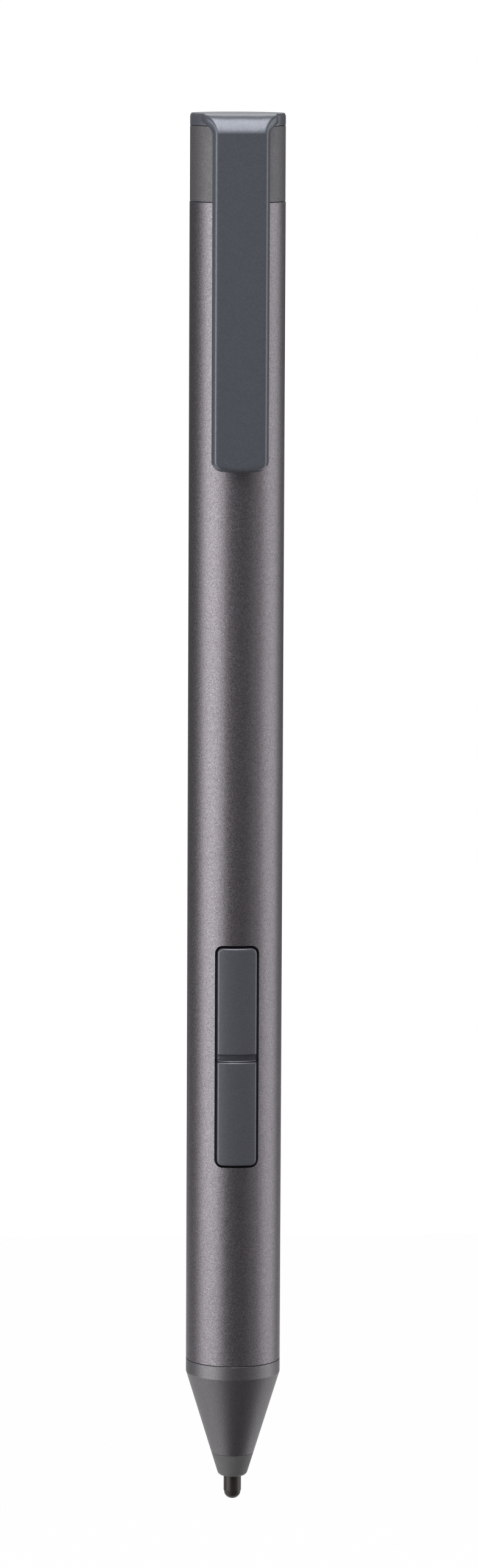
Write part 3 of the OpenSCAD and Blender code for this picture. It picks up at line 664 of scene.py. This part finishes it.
# %% Crown the key and hollow its foot
crown_r = 6.5 * MM
key_columns = 20
cove_len = 0.62 * MM
cove_drop = 0.55 * MM
cove_steps = 8
lip_len = 0.18 * MM
lip_rise = 0.4 * MM
row_margin = 1.3 * key_edge
front_depth = 1.5 * key_edge


def cove_rows(z0):
    """Heights at which the lip and the cove get a row."""
    turns = [math.pi / 2 * i / cove_steps for i in range(cove_steps + 1)]
    lip = [z0 + lip_len * math.sin(a) for a in turns[1:-1]]
    return lip + [z0 + lip_len + cove_len * math.cos(a) for a in turns]


def cove_depth(height):
    """How far the front lies back at a height above the foot of a key with a cove."""
    below = max(0, lip_len + cove_len - height)
    hollow = cove_drop * math.sqrt(1 - max(0, 1 - below / cove_len) ** 2)
    return hollow - lip_rise * math.sqrt(1 - min(1, height / lip_len) ** 2)


def crown_depth(x):
    """How far the crowned front falls back at a distance from the key's middle."""
    return crown_r - math.sqrt(crown_r ** 2 - x ** 2)


def crown(bm, z0, z1, cove):
    """Cuts a key's block into columns and rows, and pushes them back to its curved front."""
    for i in range(1, key_columns):
        cut(bm, (key_w * (i / key_columns - 0.5), 0, 0), (1, 0, 0))
    foot = z0 + lip_len + cove_len if cove else z0
    rows = cove_rows(z0) if cove else []
    for z in (*rows, foot + row_margin, z1 - row_margin):
        cut(bm, (0, 0, z), (0, 0, 1))
    for v in bm.verts:
        if cove and v.co.y < key_front + front_depth:
            v.co.y += cove_depth(v.co.z - z0)
        v.co.y += crown_depth(v.co.x)
    bmesh.ops.recalc_face_normals(bm, faces=bm.faces)


print("crown falls back", round(crown_depth(key_w / 2) / MM, 3), "mm")

# %% Add the flange and the boss
flange_front = -3.204 * MM
boss_back = -2.054 * MM
boss_r = 0.9 * MM
lower_key_len = 10.48 * MM
key_split = 0.05 * MM


def key_back_part(bm, node, middle):
    """The flange behind the barrel's wall and the boss over the switch."""
    box(bm, (low(node).x, flange_front, low(node).z), (high(node).x, key_back, high(node).z))
    place = Matrix.Translation((0, (key_back + boss_back) / 2, middle))
    lying = Matrix.Rotation(math.pi / 2, 4, "X")
    bmesh.ops.create_cone(bm, cap_ends=True, segments=32, radius1=boss_r, radius2=boss_r,
                          depth=boss_back - key_back, matrix=place @ lying)


lower_key_z = (slot_z[0] + key_gap, slot_z[0] + key_gap + lower_key_len)
upper_key_z = (lower_key_z[1] + key_split, slot_z[1] - key_gap)
for name, node, span, rounds, cove in (
    ("lower_key", "lower_button", lower_key_z, (key_corner, split_corner), False),
    ("upper_key", "upper_button", upper_key_z, (split_corner, key_corner), True),
):
    key_bm = key_block(*span, *rounds, cove)
    crown(key_bm, *span, cove)
    key_back_part(key_bm, node, sum(span) / 2)
    piece(name, key_bm, key_paint, [node], node)

# %% [markdown]
# ## The cap
# The cap's sleeve is a hair smaller than the barrel, and below it a threaded spigot screws into the
# tube. The thread is a low ridge with a pitch of one millimetre. It is spun like the rest, but each
# step of the spin also climbs a little, which makes a helix. Its two open ends are filled. A pattern
# in the bump would be cheaper, but the thread shows in outline when the cap is off.

# %% The sleeve and its thread
sleeve_z = (barrel_z[1] + seam, high("cap_sleeve").z)
spigot_z = low("cap_sleeve").z
spigot_r = bore_r - 0.1 * MM
spigot_round = 0.15 * MM
spigot_bore_r = spigot_r - 0.85 * MM
chamber_r = 2.3 * MM
boss_hole_r = 1.36 * MM
ledge_z = high("cap_contact").z + 0.06 * MM
web_z = sleeve_z[1] - 3.3 * MM
sleeve_bm = turned([
    (spigot_bore_r, spigot_z, full), (spigot_r, spigot_z, spigot_round), (spigot_r, sleeve_z[0], 0),
    (cap_r, sleeve_z[0], edge_break), (cap_r, sleeve_z[1], edge_break), (boss_hole_r, sleeve_z[1], 0),
    (boss_hole_r, web_z, 0), (chamber_r, web_z, 0), (chamber_r, ledge_z, 0), (spigot_bore_r, ledge_z, 0),
], steps=160)
print("sleeve:", len(sleeve_bm.faces), "faces")

# %% Wind the thread
thread_pitch = 1 * MM
thread_turns = 2.75
thread_crest = 0.07 * MM
thread_half = 0.28 * MM
thread_start = 0.7 * MM
thread_steps = 64


def winding(bm, section, turns, pitch, steps):
    """Spins a closed section of (radius, height) points while it climbs, and caps its ends."""
    points = [bm.verts.new((radius, 0, z)) for radius, z in section]
    edges = [bm.edges.new(pair) for pair in zip(points, points[1:] + points[:1])]
    before = set(bm.faces)
    bmesh.ops.spin(bm, geom=points + edges, cent=(0, 0, 0), axis=(0, 0, 1), angle=2 * math.pi * turns,
                   steps=round(turns * steps), dvec=(0, 0, pitch / steps), use_merge=False)
    new = [f for f in bm.faces if f not in before]
    ends = {e for f in new for e in f.edges if e.is_boundary}
    bmesh.ops.holes_fill(bm, edges=list(ends))


thread_z = spigot_z + thread_start
winding(sleeve_bm, [
    (spigot_r - thread_crest, thread_z), (spigot_r + thread_crest, thread_z + thread_half),
    (spigot_r - thread_crest, thread_z + 2 * thread_half),
], thread_turns, thread_pitch, thread_steps)
bmesh.ops.recalc_face_normals(sleeve_bm, faces=sleeve_bm.faces)
piece("cap_shell", sleeve_bm, cap_paint, ["cap_sleeve"], "cap")

# %% [markdown]
# ## The top plate and the clip
# Plate and clip are one piece of formed metal on the real pen: a disc with a tongue, bent down at the
# front into the clip. The bend is an arc that stops 9 degrees short of upright, which leaves the
# crease that the photograph shows where the bend meets the clip's flat face. The sheet is made flat,
# as the metal is: a circle is cut off square at the front, and the cut edge is extruded forwards row
# by row, each row as wide as the tongue is there. The last rows follow the rounded corners. Their
# faces are merged into one, because the edge's rings would run over the points inside them, and then
# the end gets its slight bow. A disc and a box joined by a Boolean would be quicker, but would leave
# no clean rows for the flare, the bend and the soft edge to follow.

# %% Plan the flat sheet
clip_half = 2.82 * MM
clip_flare = 0.85 * MM
flare_len = 2.9 * MM
clip_corner = 1.15 * MM
end_bow = 0.12 * MM
clip_thick = 0.85 * MM
clip_bottom = low("clip_arm").z
clip_front = low("clip_arm").y
crease = math.radians(9)
bend_drop = 1.9 * MM
bend_r = bend_drop / (1 - math.sin(crease))
bend_z = pen_top - bend_drop
bend_len = bend_r * (math.pi / 2 - crease)
flat_end = -clip_front - bend_r * math.cos(crease)
blade_start = flat_end + bend_len
root_fillet = 0.6 * MM
root_half = clip_half + clip_flare
root_y = math.sqrt((cap_r + root_fillet) ** 2 - (root_half + root_fillet) ** 2)
sheet_end = blade_start + bend_z - clip_bottom
corner_start = sheet_end - clip_corner
print("sheet is", round(sheet_end / MM, 2), "mm from axis to end")

# %% Describe the sheet's line, width and rows
fillet_rows, bend_rows, corner_rows = 5, 32, 10
crease_step = 0.04 * MM
flex_step, flex_rows = 0.25 * MM, 16
blade_step, blade_rows = 4 * MM, 6


def outer_line(along):
    """Where the sheet's face runs, as (y, z), at a distance from the axis measured over the sheet."""
    if along < flat_end:
        return -along, pen_top
    if along > blade_start:
        return clip_front, bend_z - (along - blade_start)
    angle = (along - flat_end) / bend_r
    return -flat_end - bend_r * math.sin(angle), pen_top - bend_r * (1 - math.cos(angle))


def tongue_half(along):
    """Half the tongue's width at that distance."""
    if along < root_y:
        return root_half + root_fillet - math.sqrt(root_fillet ** 2 - (root_y - along) ** 2)
    if along > corner_start:
        inside = max(0, clip_corner ** 2 - (along - corner_start) ** 2)
        return clip_half - clip_corner + math.sqrt(inside)
    share = min(max((blade_start - along) / flare_len, 0), 1)
    return clip_half + clip_flare * (1 - math.cos(math.pi * share)) / 2


def spaced(first, last, count):
    """Evenly spaced distances from first to last, both of them included."""
    return [first + (last - first) * i / count for i in range(count + 1)]


def sheet_rows():
    """Distances from the axis at which the tongue gets a row: close together where it bends."""
    fillet = spaced(root_y * cap_r / (cap_r + root_fillet), root_y, fillet_rows)
    bend = spaced(flat_end, blade_start, bend_rows)[:-1]
    foot = spaced(blade_start - crease_step, blade_start + crease_step, 2)
    flex = spaced(blade_start, blade_start + flex_step * flex_rows, flex_rows)[1:]
    blade = spaced(corner_start - blade_step * blade_rows, corner_start, blade_rows)
    turns = spaced(0, math.pi / 2, corner_rows)[1:]
    corner = [corner_start + clip_corner * math.sin(angle) for angle in turns]
    return fillet + bend + foot + flex + blade + corner


rows = sheet_rows()
print("tongue has", len(rows), "rows")

# %% Draw the disc and the tongue
sheet_columns = 4
sheet = bmesh.new()
bmesh.ops.create_circle(sheet, cap_ends=True, radius=cap_r, segments=160)
bmesh.ops.bisect_plane(sheet, geom=sheet.faces[:] + sheet.edges[:] + sheet.verts[:], dist=WELD / 10,
                       plane_co=(0, -rows[0], 0), plane_no=(0, -1, 0), clear_outer=True)


def row_edges(bm, along):
    """The edges that lie straight across the sheet at a distance from the axis."""
    return [e for e in bm.edges if all(abs(v.co.y + along) < WELD for v in e.verts)]


bmesh.ops.subdivide_edges(sheet, edges=row_edges(sheet, rows[0]), cuts=sheet_columns - 1)
row = row_edges(sheet, rows[0])
for before, after in zip(rows, rows[1:]):
    made = bmesh.ops.extrude_edge_only(sheet, edges=row)["geom"]
    row = [g for g in made if isinstance(g, bmesh.types.BMEdge)]
    for v in {v for e in row for v in e.verts}:
        v.co.x *= tongue_half(after) / tongue_half(before)
        v.co.y = -after
end_faces = [f for f in sheet.faces if -f.calc_center_median().y > corner_start]
bmesh.ops.dissolve_faces(sheet, faces=end_faces)
for v in sheet.verts:
    past = max(0, -v.co.y - corner_start) / clip_corner
    across = min(1, abs(v.co.x) / (clip_half - clip_corner))
    v.co.y += end_bow * past * across ** 2
bmesh.ops.recalc_face_normals(sheet, faces=sheet.faces)
if sheet.faces[0].normal.z < 0:
    bmesh.ops.reverse_faces(sheet, faces=sheet.faces)
print("flat sheet:", len(sheet.faces), "faces")

# %% [markdown]
# The edge of the real clip isn't square. A steep flank leads up from the back, turns tightly and
# fades into the face, so that each side shows a thin bright line with a grey band outside it and a
# soft shoulder inside. The disc's edge leans in and rounds over instead. One bevel can't change its
# form on the way, so the edge is built of rings while the sheet is still flat: the sheet is inset in
# narrow steps, and each ring sinks by the edge's curve at its distance from the outline. A copy of
# the sheet, lower by the metal's thickness, becomes the back, and the two outlines are bridged.

# %% Shape the edge
disc_width, disc_height, disc_power = 0.16 * MM, 0.34 * MM, 1.5
soft_width = 0.7 * MM
flank_width, flank_power = 0.355 * MM, 5
flank_slope = 2.7
edge_slices = 200
clip_form_at = 0.3 * MM


def rounded(distance):
    """How far the disc's edge lies below its face at a distance from the outline."""
    rest = max(0, 1 - distance / disc_width)
    return disc_height * (1 - (1 - rest ** disc_power) ** (1 / disc_power))


def flank(distance):
    """The slope of the clip's edge: steep in the flank, fading to none at the end of the shoulder."""
    return flank_slope * (1 - distance / soft_width) / (1 + (distance / flank_width) ** flank_power)


def curved(distance):
    """How far the clip's edge lies below its face, summed up from its slope in thin slices."""
    width = soft_width / edge_slices
    middles = [(i + 0.5) * width for i in range(edge_slices)]
    return sum(width * flank(middle) for middle in middles if middle > distance)


def clip_share(along):
    """0 on the disc, 1 on the clip, with a smooth change over the bend."""
    share = min(max((along - root_y) / (blade_start + clip_form_at - root_y), 0), 1)
    return share * share * (3 - 2 * share)


print("clip edge is", round(curved(0) / MM, 3), "mm deep")

# %% Sink the edge in rings
back_break = 0.1 * MM
back_drop = 0.05 * MM
ring_places = [place * MM for place in (
    0, 0.01, 0.06, 0.12, 0.18, 0.23, 0.27, 0.31, 0.35, 0.39, 0.43, 0.48, 0.54, 0.62, 0.7,
)]
front = sheet.faces[:]
copy = bmesh.ops.duplicate(sheet, geom=sheet.verts[:] + sheet.edges[:] + front)["geom"]
back = [g for g in copy if isinstance(g, bmesh.types.BMFace)]
back_verts = [g for g in copy if isinstance(g, bmesh.types.BMVert)]
bmesh.ops.reverse_faces(sheet, faces=back)
bmesh.ops.translate(sheet, vec=(0, 0, -clip_thick), verts=back_verts)
for outer, inner in zip(ring_places, ring_places[1:]):
    bmesh.ops.inset_region(sheet, faces=front, thickness=inner - outer, use_boundary=True,
                           use_even_offset=True)
bmesh.ops.inset_region(sheet, faces=back, thickness=back_break, use_boundary=True, use_even_offset=True)
rims = [v for v in sheet.verts if v.is_boundary]
ring = {v for v in rims if v.co.z > -WELD}
done = set()
for distance in ring_places:
    on_clip, on_disc = curved(distance), rounded(distance)
    for v in ring:
        share = clip_share(-v.co.y)
        v.co.z = -(share * on_clip + (1 - share) * on_disc)
    done |= ring
    ring = {e.other_vert(v) for v in ring for e in v.link_edges} - done
for v in rims:
    if v.co.z < -clip_thick + WELD:
        v.co.z += back_drop * clip_share(-v.co.y)
bmesh.ops.bridge_loops(sheet, edges=[e for e in sheet.edges if e.is_boundary])
print("thick sheet:", len(sheet.faces), "faces, open edges", sum(e.is_boundary for e in sheet.edges))

# %% [markdown]
# Now the flat piece is bent. Each point keeps its distance along the sheet, which gives its place on
# the bend's outer line, and its depth under the face is laid off across the sheet. At the crease that
# direction would jump, so it turns evenly instead and ends a little past the crease. A Simple Deform
# modifier bends a sheet too, but only in a plain arc.

# %% Wrap the sheet round the bend
turn_past = 0.4 * MM
clip_sharp = math.radians(50)


def wrapped(point):
    """Where a point of the flat sheet lies once the tongue is bent down."""
    along, depth = -point.y, -point.z
    y, z = outer_line(along)
    turn = math.pi / 2 * min(max((along - flat_end) / (bend_len + turn_past), 0), 1)
    return Vector((point.x, y + depth * math.sin(turn), z - depth * math.cos(turn)))


for v in sheet.verts:
    v.co = wrapped(v.co)
bmesh.ops.recalc_face_normals(sheet, faces=sheet.faces)
print("wrapped, lowest point", round(min(v.co.z for v in sheet.verts) / MM, 2), "mm")
clip = piece("pocket_clip", sheet, clip_paint, ["cap_plate", "clip_arm"], sharp=clip_sharp)
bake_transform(clip)

# %% [markdown]
# Under the sheet the plate is a little thicker, and a boss with a screw hole reaches down through
# the cap's web. Both could be extruded from the sheet's back, but they are round and nobody sees
# where they meet it, so they are turned in one piece, which rides on the cap.

# %% The plate's underside
plate_z = high("cap_sleeve").z + seam
under_z = pen_top - clip_thick
boss_z = low("cap_plate").z
screw_hole_r = 0.8 * MM
plate_boss_r = 1.3 * MM
plate_bm = turned([
    (screw_hole_r, boss_z, 0), (plate_boss_r, boss_z, light), (plate_boss_r, plate_z, 0),
    (cap_r, plate_z, 0), (cap_r, under_z, 0), (screw_hole_r, under_z, 0),
], steps=160)
piece("plate_underside", plate_bm, clip_paint, [], "cap")

# %% [markdown]
# ## The springs
# A compression spring's last turn at each end lies flat, so that it stands square. Three windings
# make one wire: a closed turn, the open turns and a closed turn. A curve with a round bevel is the
# usual way, but the climbing spin gives the same mesh in one step for each stretch.

# %% Wind the springs
coil_steps = 32
wire_sides = 10
wire_sharp = math.radians(40)
closed_share = 1.04


def coil(name, node, wire, open_turns):
    """A compression spring with closed ends, in the box of the node that it stands for."""
    radius = (high(node).x - low(node).x) / 2 - wire / 2
    z0, z1 = low(node).z + wire / 2, high(node).z - wire / 2
    closed = wire * closed_share
    rise = (z1 - z0 - 2 * closed) / open_turns
    bm = bmesh.new()
    place = Matrix.Translation((radius, 0, z0)) @ Matrix.Rotation(math.pi / 2, 4, "X")
    verts = bmesh.ops.create_circle(bm, segments=wire_sides, radius=wire / 2, matrix=place)["verts"]
    geom = verts + bm.edges[:]
    for turns, pitch in ((1, closed), (open_turns, rise), (1, closed)):
        spun = bmesh.ops.spin(bm, geom=geom, cent=(0, 0, 0), axis=(0, 0, 1), angle=2 * math.pi * turns,
                              steps=round(turns * coil_steps), dvec=(0, 0, pitch / coil_steps),
                              use_merge=False)
        geom = spun["geom_last"]
    bmesh.ops.holes_fill(bm, edges=[e for e in bm.edges if e.is_boundary])
    bmesh.ops.recalc_face_normals(bm, faces=bm.faces)
    made = piece(name, bm, steel_wire, [node], sharp=wire_sharp)
    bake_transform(made)


def drawn_wire():
    """Bright drawn wire with a very fine relief and a slightly uneven gloss."""
    material, tree, shader, where = surface("steel_wire", (0.58, 0.59, 0.61), 1.0, 0.24)
    tinted(tree, shader, clouds(tree, where, 9000, 0.86, 1.08))
    glossed(tree, shader, clouds(tree, where, 4000, 0.18, 0.34))
    relief(tree, shader, clouds(tree, where, 14000, 0, 1), 0.001 * MM)
    return material


steel_wire = drawn_wire()
coil("battery_coil", "battery_spring", wire=0.5 * MM, open_turns=3.5)
coil("nib_coil", "nib_spring", wire=0.22 * MM, open_turns=3)

# %% [markdown]
# ## The cell and its contact
# The cell shows when the cap is off and it slides out. A plain film is shrunk round a steel can and
# curls over its ends. The can's flat end is slightly dished, and the positive nub stands out of a
# dark ring. The contact in the cap is a nickel cup that holds the spring. Plain cylinders would do
# from far off, but the curl, the dish and the step round the nub show once the cell is out, so the
# lathe makes each piece as a closed shell.

# %% Finishes for the cell
def film():
    """Dark plain shrink film with a soft gloss and faint ripples."""
    material, tree, shader, where = surface("shrink_film", (0.025, 0.040, 0.065), 0.0, 0.22)
    tinted(tree, shader, clouds(tree, where, 900, 0.9, 1.1))
    relief(tree, shader, clouds(tree, where, 1500, 0, 1), 0.004 * MM)
    return material


def plated(name, colour):
    """Nickel plate: bright, a little warm, and not quite even."""
    material, tree, shader, where = surface(name, colour, 1.0, 0.22)
    tinted(tree, shader, clouds(tree, where, 5000, 0.9, 1.05))
    glossed(tree, shader, clouds(tree, where, 3000, 0.16, 0.32))
    relief(tree, shader, clouds(tree, where, 12000, 0, 1), 0.0008 * MM)
    return material


nickel = plated("nickel_plate", (0.62, 0.60, 0.55))
print("cell finishes:", nickel.name)

# %% Turn the cell's film and can
cell_r = high("battery_jacket").x
cell_z = (low("battery_jacket").z, high("battery_jacket").z)
film_t = 0.12 * MM
can_r = cell_r - film_t
lip_r = can_r - 0.45 * MM
film_bm = turned([
    (lip_r, cell_z[0], 0), (cell_r, cell_z[0], full), (cell_r, cell_z[1], full), (lip_r, cell_z[1], 0),
    (lip_r, cell_z[1] - film_t / 2, 0), (can_r, cell_z[1] - film_t / 2, 0),
    (can_r, cell_z[0] + film_t / 2, 0), (lip_r, cell_z[0] + film_t / 2, 0),
], steps=96)
piece("cell_film", film_bm, film(), ["battery_jacket"], "battery")
dish_r, dish_rim_r = can_r - 1.4 * MM, can_r - 0.9 * MM
dish_z, dish_rim_z = cell_z[1] - 0.2 * MM, cell_z[1] - film_t
can_side_r = can_r - 0.01 * MM
can_foot_z = cell_z[0] + 0.25 * MM
can_bm = turned([
    (0, dish_z, 0), (dish_r, dish_z, light), (dish_rim_r, dish_rim_z, full),
    (can_side_r, dish_rim_z, 0), (can_side_r, can_foot_z, 0), (0, can_foot_z, 0),
], steps=96)
piece("cell_can", can_bm, nickel, ["battery_can", "battery_core"], "battery")

# %% The cell's positive end
nub_r = high("battery_nub").x
nub_z = low("battery_nub").z
nub_round = 0.25 * MM
nub_base_r = nub_r + 0.7 * MM
nub_base_z = cell_z[0] + 0.2 * MM
nub_bm = turned([
    (0, nub_z, 0), (nub_r, nub_z, nub_round), (nub_r, cell_z[0], 0), (nub_base_r, cell_z[0], 0),
    (nub_base_r, nub_base_z, 0), (0, nub_base_z, 0),
], steps=96)
piece("cell_nub", nub_bm, nickel, ["battery_nub"], "battery")
ring_plastic = moulded_plastic("ring_plastic", (0.012, 0.012, 0.014), 0.45, 5000, 0.002 * MM)
ring_z = (cell_z[0] + hairline, cell_z[0] + 0.24 * MM)
ring_bm = turned([
    (nub_base_r, ring_z[0], 0), (lip_r, ring_z[0], light), (lip_r, ring_z[1], 0),
    (nub_base_r, ring_z[1], 0),
], steps=96)
piece("cell_ring", ring_bm, ring_plastic, ["battery_seal"], "battery")

# %% The contact in the cap
cup_r = high("cap_contact").x
cup_z = (low("cap_contact").z, high("cap_contact").z)
cup_t = 0.35 * MM
cup_round = 0.2 * MM
cup_bm = turned([
    (0, cup_z[1], 0), (cup_r, cup_z[1], cup_round), (cup_r, cup_z[0], light),
    (cup_r - cup_t, cup_z[0], light), (cup_r - cup_t, cup_z[1] - cup_t, full), (0, cup_z[1] - cup_t, 0),
], steps=96)
piece("contact_cup", cup_bm, nickel, ["cap_contact"], "cap_contact")

# %% [markdown]
# ## The pieces that stay as they are
# The board, the frame, the switches and the sensor are inside, and their solids already have their
# real shape. New skins could be made for them too, but would show no more than the solids do. They
# only need their finishes, which are made from the same helpers and put on the loaded nodes.

# %% Finishes for the inner pieces
def laminate():
    """Solder mask over woven glass: green with a faint weave and a soft gloss."""
    material, tree, shader, where = surface("board_laminate", (0.012, 0.075, 0.035), 0.0, 0.3)
    tinted(tree, shader, cells(tree, where, 2500, 0.85, 1.15))
    relief(tree, shader, clouds(tree, where, 5000, 0, 1), 0.002 * MM)
    return material


gilt = plated("gilt_brass", (0.75, 0.52, 0.20))
natural = moulded_plastic("natural_plastic", (0.62, 0.58, 0.48), 0.42, 4000, 0.002 * MM)
black_epoxy = moulded_plastic("chip_epoxy", (0.014, 0.014, 0.016), 0.5, 9000, 0.003 * MM)
frame_grey = moulded_plastic("frame_plastic", (0.030, 0.030, 0.033), 0.5, 5000, 0.003 * MM)
rubber = moulded_plastic("pad_rubber", (0.13, 0.14, 0.15), 0.7, 3000, 0.004 * MM)
amber_film = moulded_plastic("flex_film", (0.30, 0.10, 0.015), 0.25, 2500, 0.001 * MM)
ceramic = moulded_plastic("part_ceramic", (0.34, 0.22, 0.11), 0.4, 8000, 0.002 * MM)
inner_finishes = {
    "tip_electrode": gilt, "inner_frame": frame_grey, "circuit_board": laminate(),
    "control_chips": black_epoxy, "board_parts": ceramic, "upper_switch": black_epoxy,
    "lower_switch": black_epoxy, "earth_leaf": gilt, "battery_contact": nickel,
    "sensor_housing": natural, "force_sensor": gilt, "sensor_pad": rubber, "sensor_flex": amber_film,
    "nib_holder": natural, "upper_stem": natural, "lower_stem": natural, "clip_screw": steel_wire,
}
for node, material in inner_finishes.items():
    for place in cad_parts[node].material_slots:
        place.material = material
print("finished", len(inner_finishes), "inner pieces")

# %% [markdown]
# ## The studio
# The photograph has a pure white background and no shadow. The highlights tell where the lights
# stood: a strong upright panel to the left and a weaker one square to the right draw the barrel's two
# long highlights, and a wide one above lights the bend of the clip. Between them the studio was dark,
# which gives the barrel its dark stripe and dark edges. A faint panel at the front right softens the
# stripe, a low one at the left lights the nose, and one behind lights the plate's top. The floor lies
# well below the pen, and the world shows white to the camera. A picture of a studio wrapped round the
# world would be quicker, but a panel can be moved until its highlight sits where the photograph's is.

# %% Floor
floor_z = -150 * MM
floor_half = 420 * MM
floor_front = -10 * MM
floor_grey = 0.9
floor_white = 0.985


def floor_surface():
    """A pale floor that the camera sees as white, a little darker where the pen shades it."""
    material = bpy.data.materials.new("pale_floor")
    material.use_nodes = True
    tree = material.node_tree
    diffuse = tree.nodes.new("ShaderNodeBsdfDiffuse")
    diffuse.inputs["Color"].default_value = (floor_grey, floor_grey, floor_grey, 1)
    glow = tree.nodes.new("ShaderNodeEmission")
    rays = tree.nodes.new("ShaderNodeLightPath")
    seen = combined(tree, "MAXIMUM", rays.outputs["Is Camera Ray"], rays.outputs["Is Glossy Ray"])
    seen = combined(tree, "MAXIMUM", seen, rays.outputs["Is Transmission Ray"])
    share = spread(tree, seen, 0.0, floor_white)
    mix = tree.nodes.new("ShaderNodeMixShader")
    tree.links.new(share, mix.inputs["Fac"])
    tree.links.new(diffuse.outputs["BSDF"], mix.inputs[1])
    tree.links.new(glow.outputs["Emission"], mix.inputs[2])
    tree.links.new(mix.outputs["Shader"], tree.nodes["Material Output"].inputs["Surface"])
    return material


floor_bm = bmesh.new()
bmesh.ops.create_grid(floor_bm, x_segments=1, y_segments=1, size=floor_half,
                      matrix=Matrix.Translation((0, floor_half + floor_front, floor_z)))
floor_mesh = bpy.data.meshes.new("floor")
floor_bm.to_mesh(floor_mesh)
floor_bm.free()
floor_mesh.materials.append(floor_surface())
floor = bpy.data.objects.new("floor", floor_mesh)
bpy.context.scene.collection.objects.link(floor)
floor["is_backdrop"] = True
print("floor", round(-floor_z / MM), "mm below the nib")

# %% Lights
def panel(name, bearing, elevation, distance, width, height, watts, aim):
    """A soft panel at a bearing from the pen: 0 is the camera's side, and 90 is square to its right."""
    data = bpy.data.lights.new(name, "AREA")
    data.shape = "RECTANGLE"
    data.size = width
    data.size_y = height
    data.energy = watts
    lamp = bpy.data.objects.new(name, data)
    bpy.context.scene.collection.objects.link(lamp)
    turn = math.radians(bearing) - camera_swing
    rise = math.radians(elevation)
    away = Vector((math.sin(turn) * math.cos(rise), -math.cos(turn) * math.cos(rise), math.sin(rise)))
    lamp.location = Vector(aim) + away * distance
    lamp.rotation_euler = away.to_track_quat("Z", "Y").to_euler()
    lamp.visible_camera = False
    print(f"{name}: {round(distance / MM)} mm away, {watts} W")


pen_middle = (0, 0, 94 * MM)
nose_end = (0, 0, 10 * MM)
cap_end = (0, 0, 140 * MM)
panel("left_panel", -59, 0, 320 * MM, 333 * MM, 390 * MM, 1.08, pen_middle)
panel("right_panel", 93, 0, 340 * MM, 300 * MM, 420 * MM, 0.70, pen_middle)
panel("soft_panel", 50, 0, 340 * MM, 150 * MM, 420 * MM, 0.075, pen_middle)
panel("low_panel", -59, -38, 320 * MM, 300 * MM, 150 * MM, 0.13, nose_end)
panel("top_panel", 0, 64, 500 * MM, 240 * MM, 700 * MM, 3.7, cap_end)
panel("back_panel", 180, 42, 600 * MM, 500 * MM, 300 * MM, 1.0, pen_middle)

# %% World
studio_grey = 0.13
back_start = 0.97
back_full = 0.995


def studio_world():
    """White to the camera, dark round the sides, and white behind the pen in its reflections."""
    world = bpy.data.worlds.new("studio")
    bpy.context.scene.world = world
    world.use_nodes = True
    tree = world.node_tree
    ground = tree.nodes["Background"]
    direction = tree.nodes.new("ShaderNodeTexCoord").outputs["Generated"]
    split = tree.nodes.new("ShaderNodeSeparateXYZ")
    tree.links.new(direction, split.inputs[0])
    behind = spread(tree, split.outputs["Y"], 0.0, 1.0, back_start, back_full)
    rays = tree.nodes.new("ShaderNodeLightPath")
    glossy, through = rays.outputs["Is Glossy Ray"], rays.outputs["Is Transmission Ray"]
    shown = combined(tree, "MULTIPLY", combined(tree, "MAXIMUM", glossy, through), behind)
    seen = combined(tree, "MAXIMUM", rays.outputs["Is Camera Ray"], shown)
    tree.links.new(spread(tree, seen, studio_grey, 1.0), ground.inputs["Color"])
    return world


studio_world()
bpy.context.scene.view_settings.view_transform = "Standard"
print("world set, view transform", bpy.context.scene.view_settings.view_transform)

# %% [markdown]
# ## Measure and finish
# The skins must not grow the pen.

# %% Print the two boxes and finish
scene_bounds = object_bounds()
sizes = {"cad": [list(c) for c in cad_bounds], "visual": [list(c) for c in scene_bounds]}
for name, corners in sizes.items():
    print(name, [[round(c / MM, 2) for c in corner] for corner in corners])
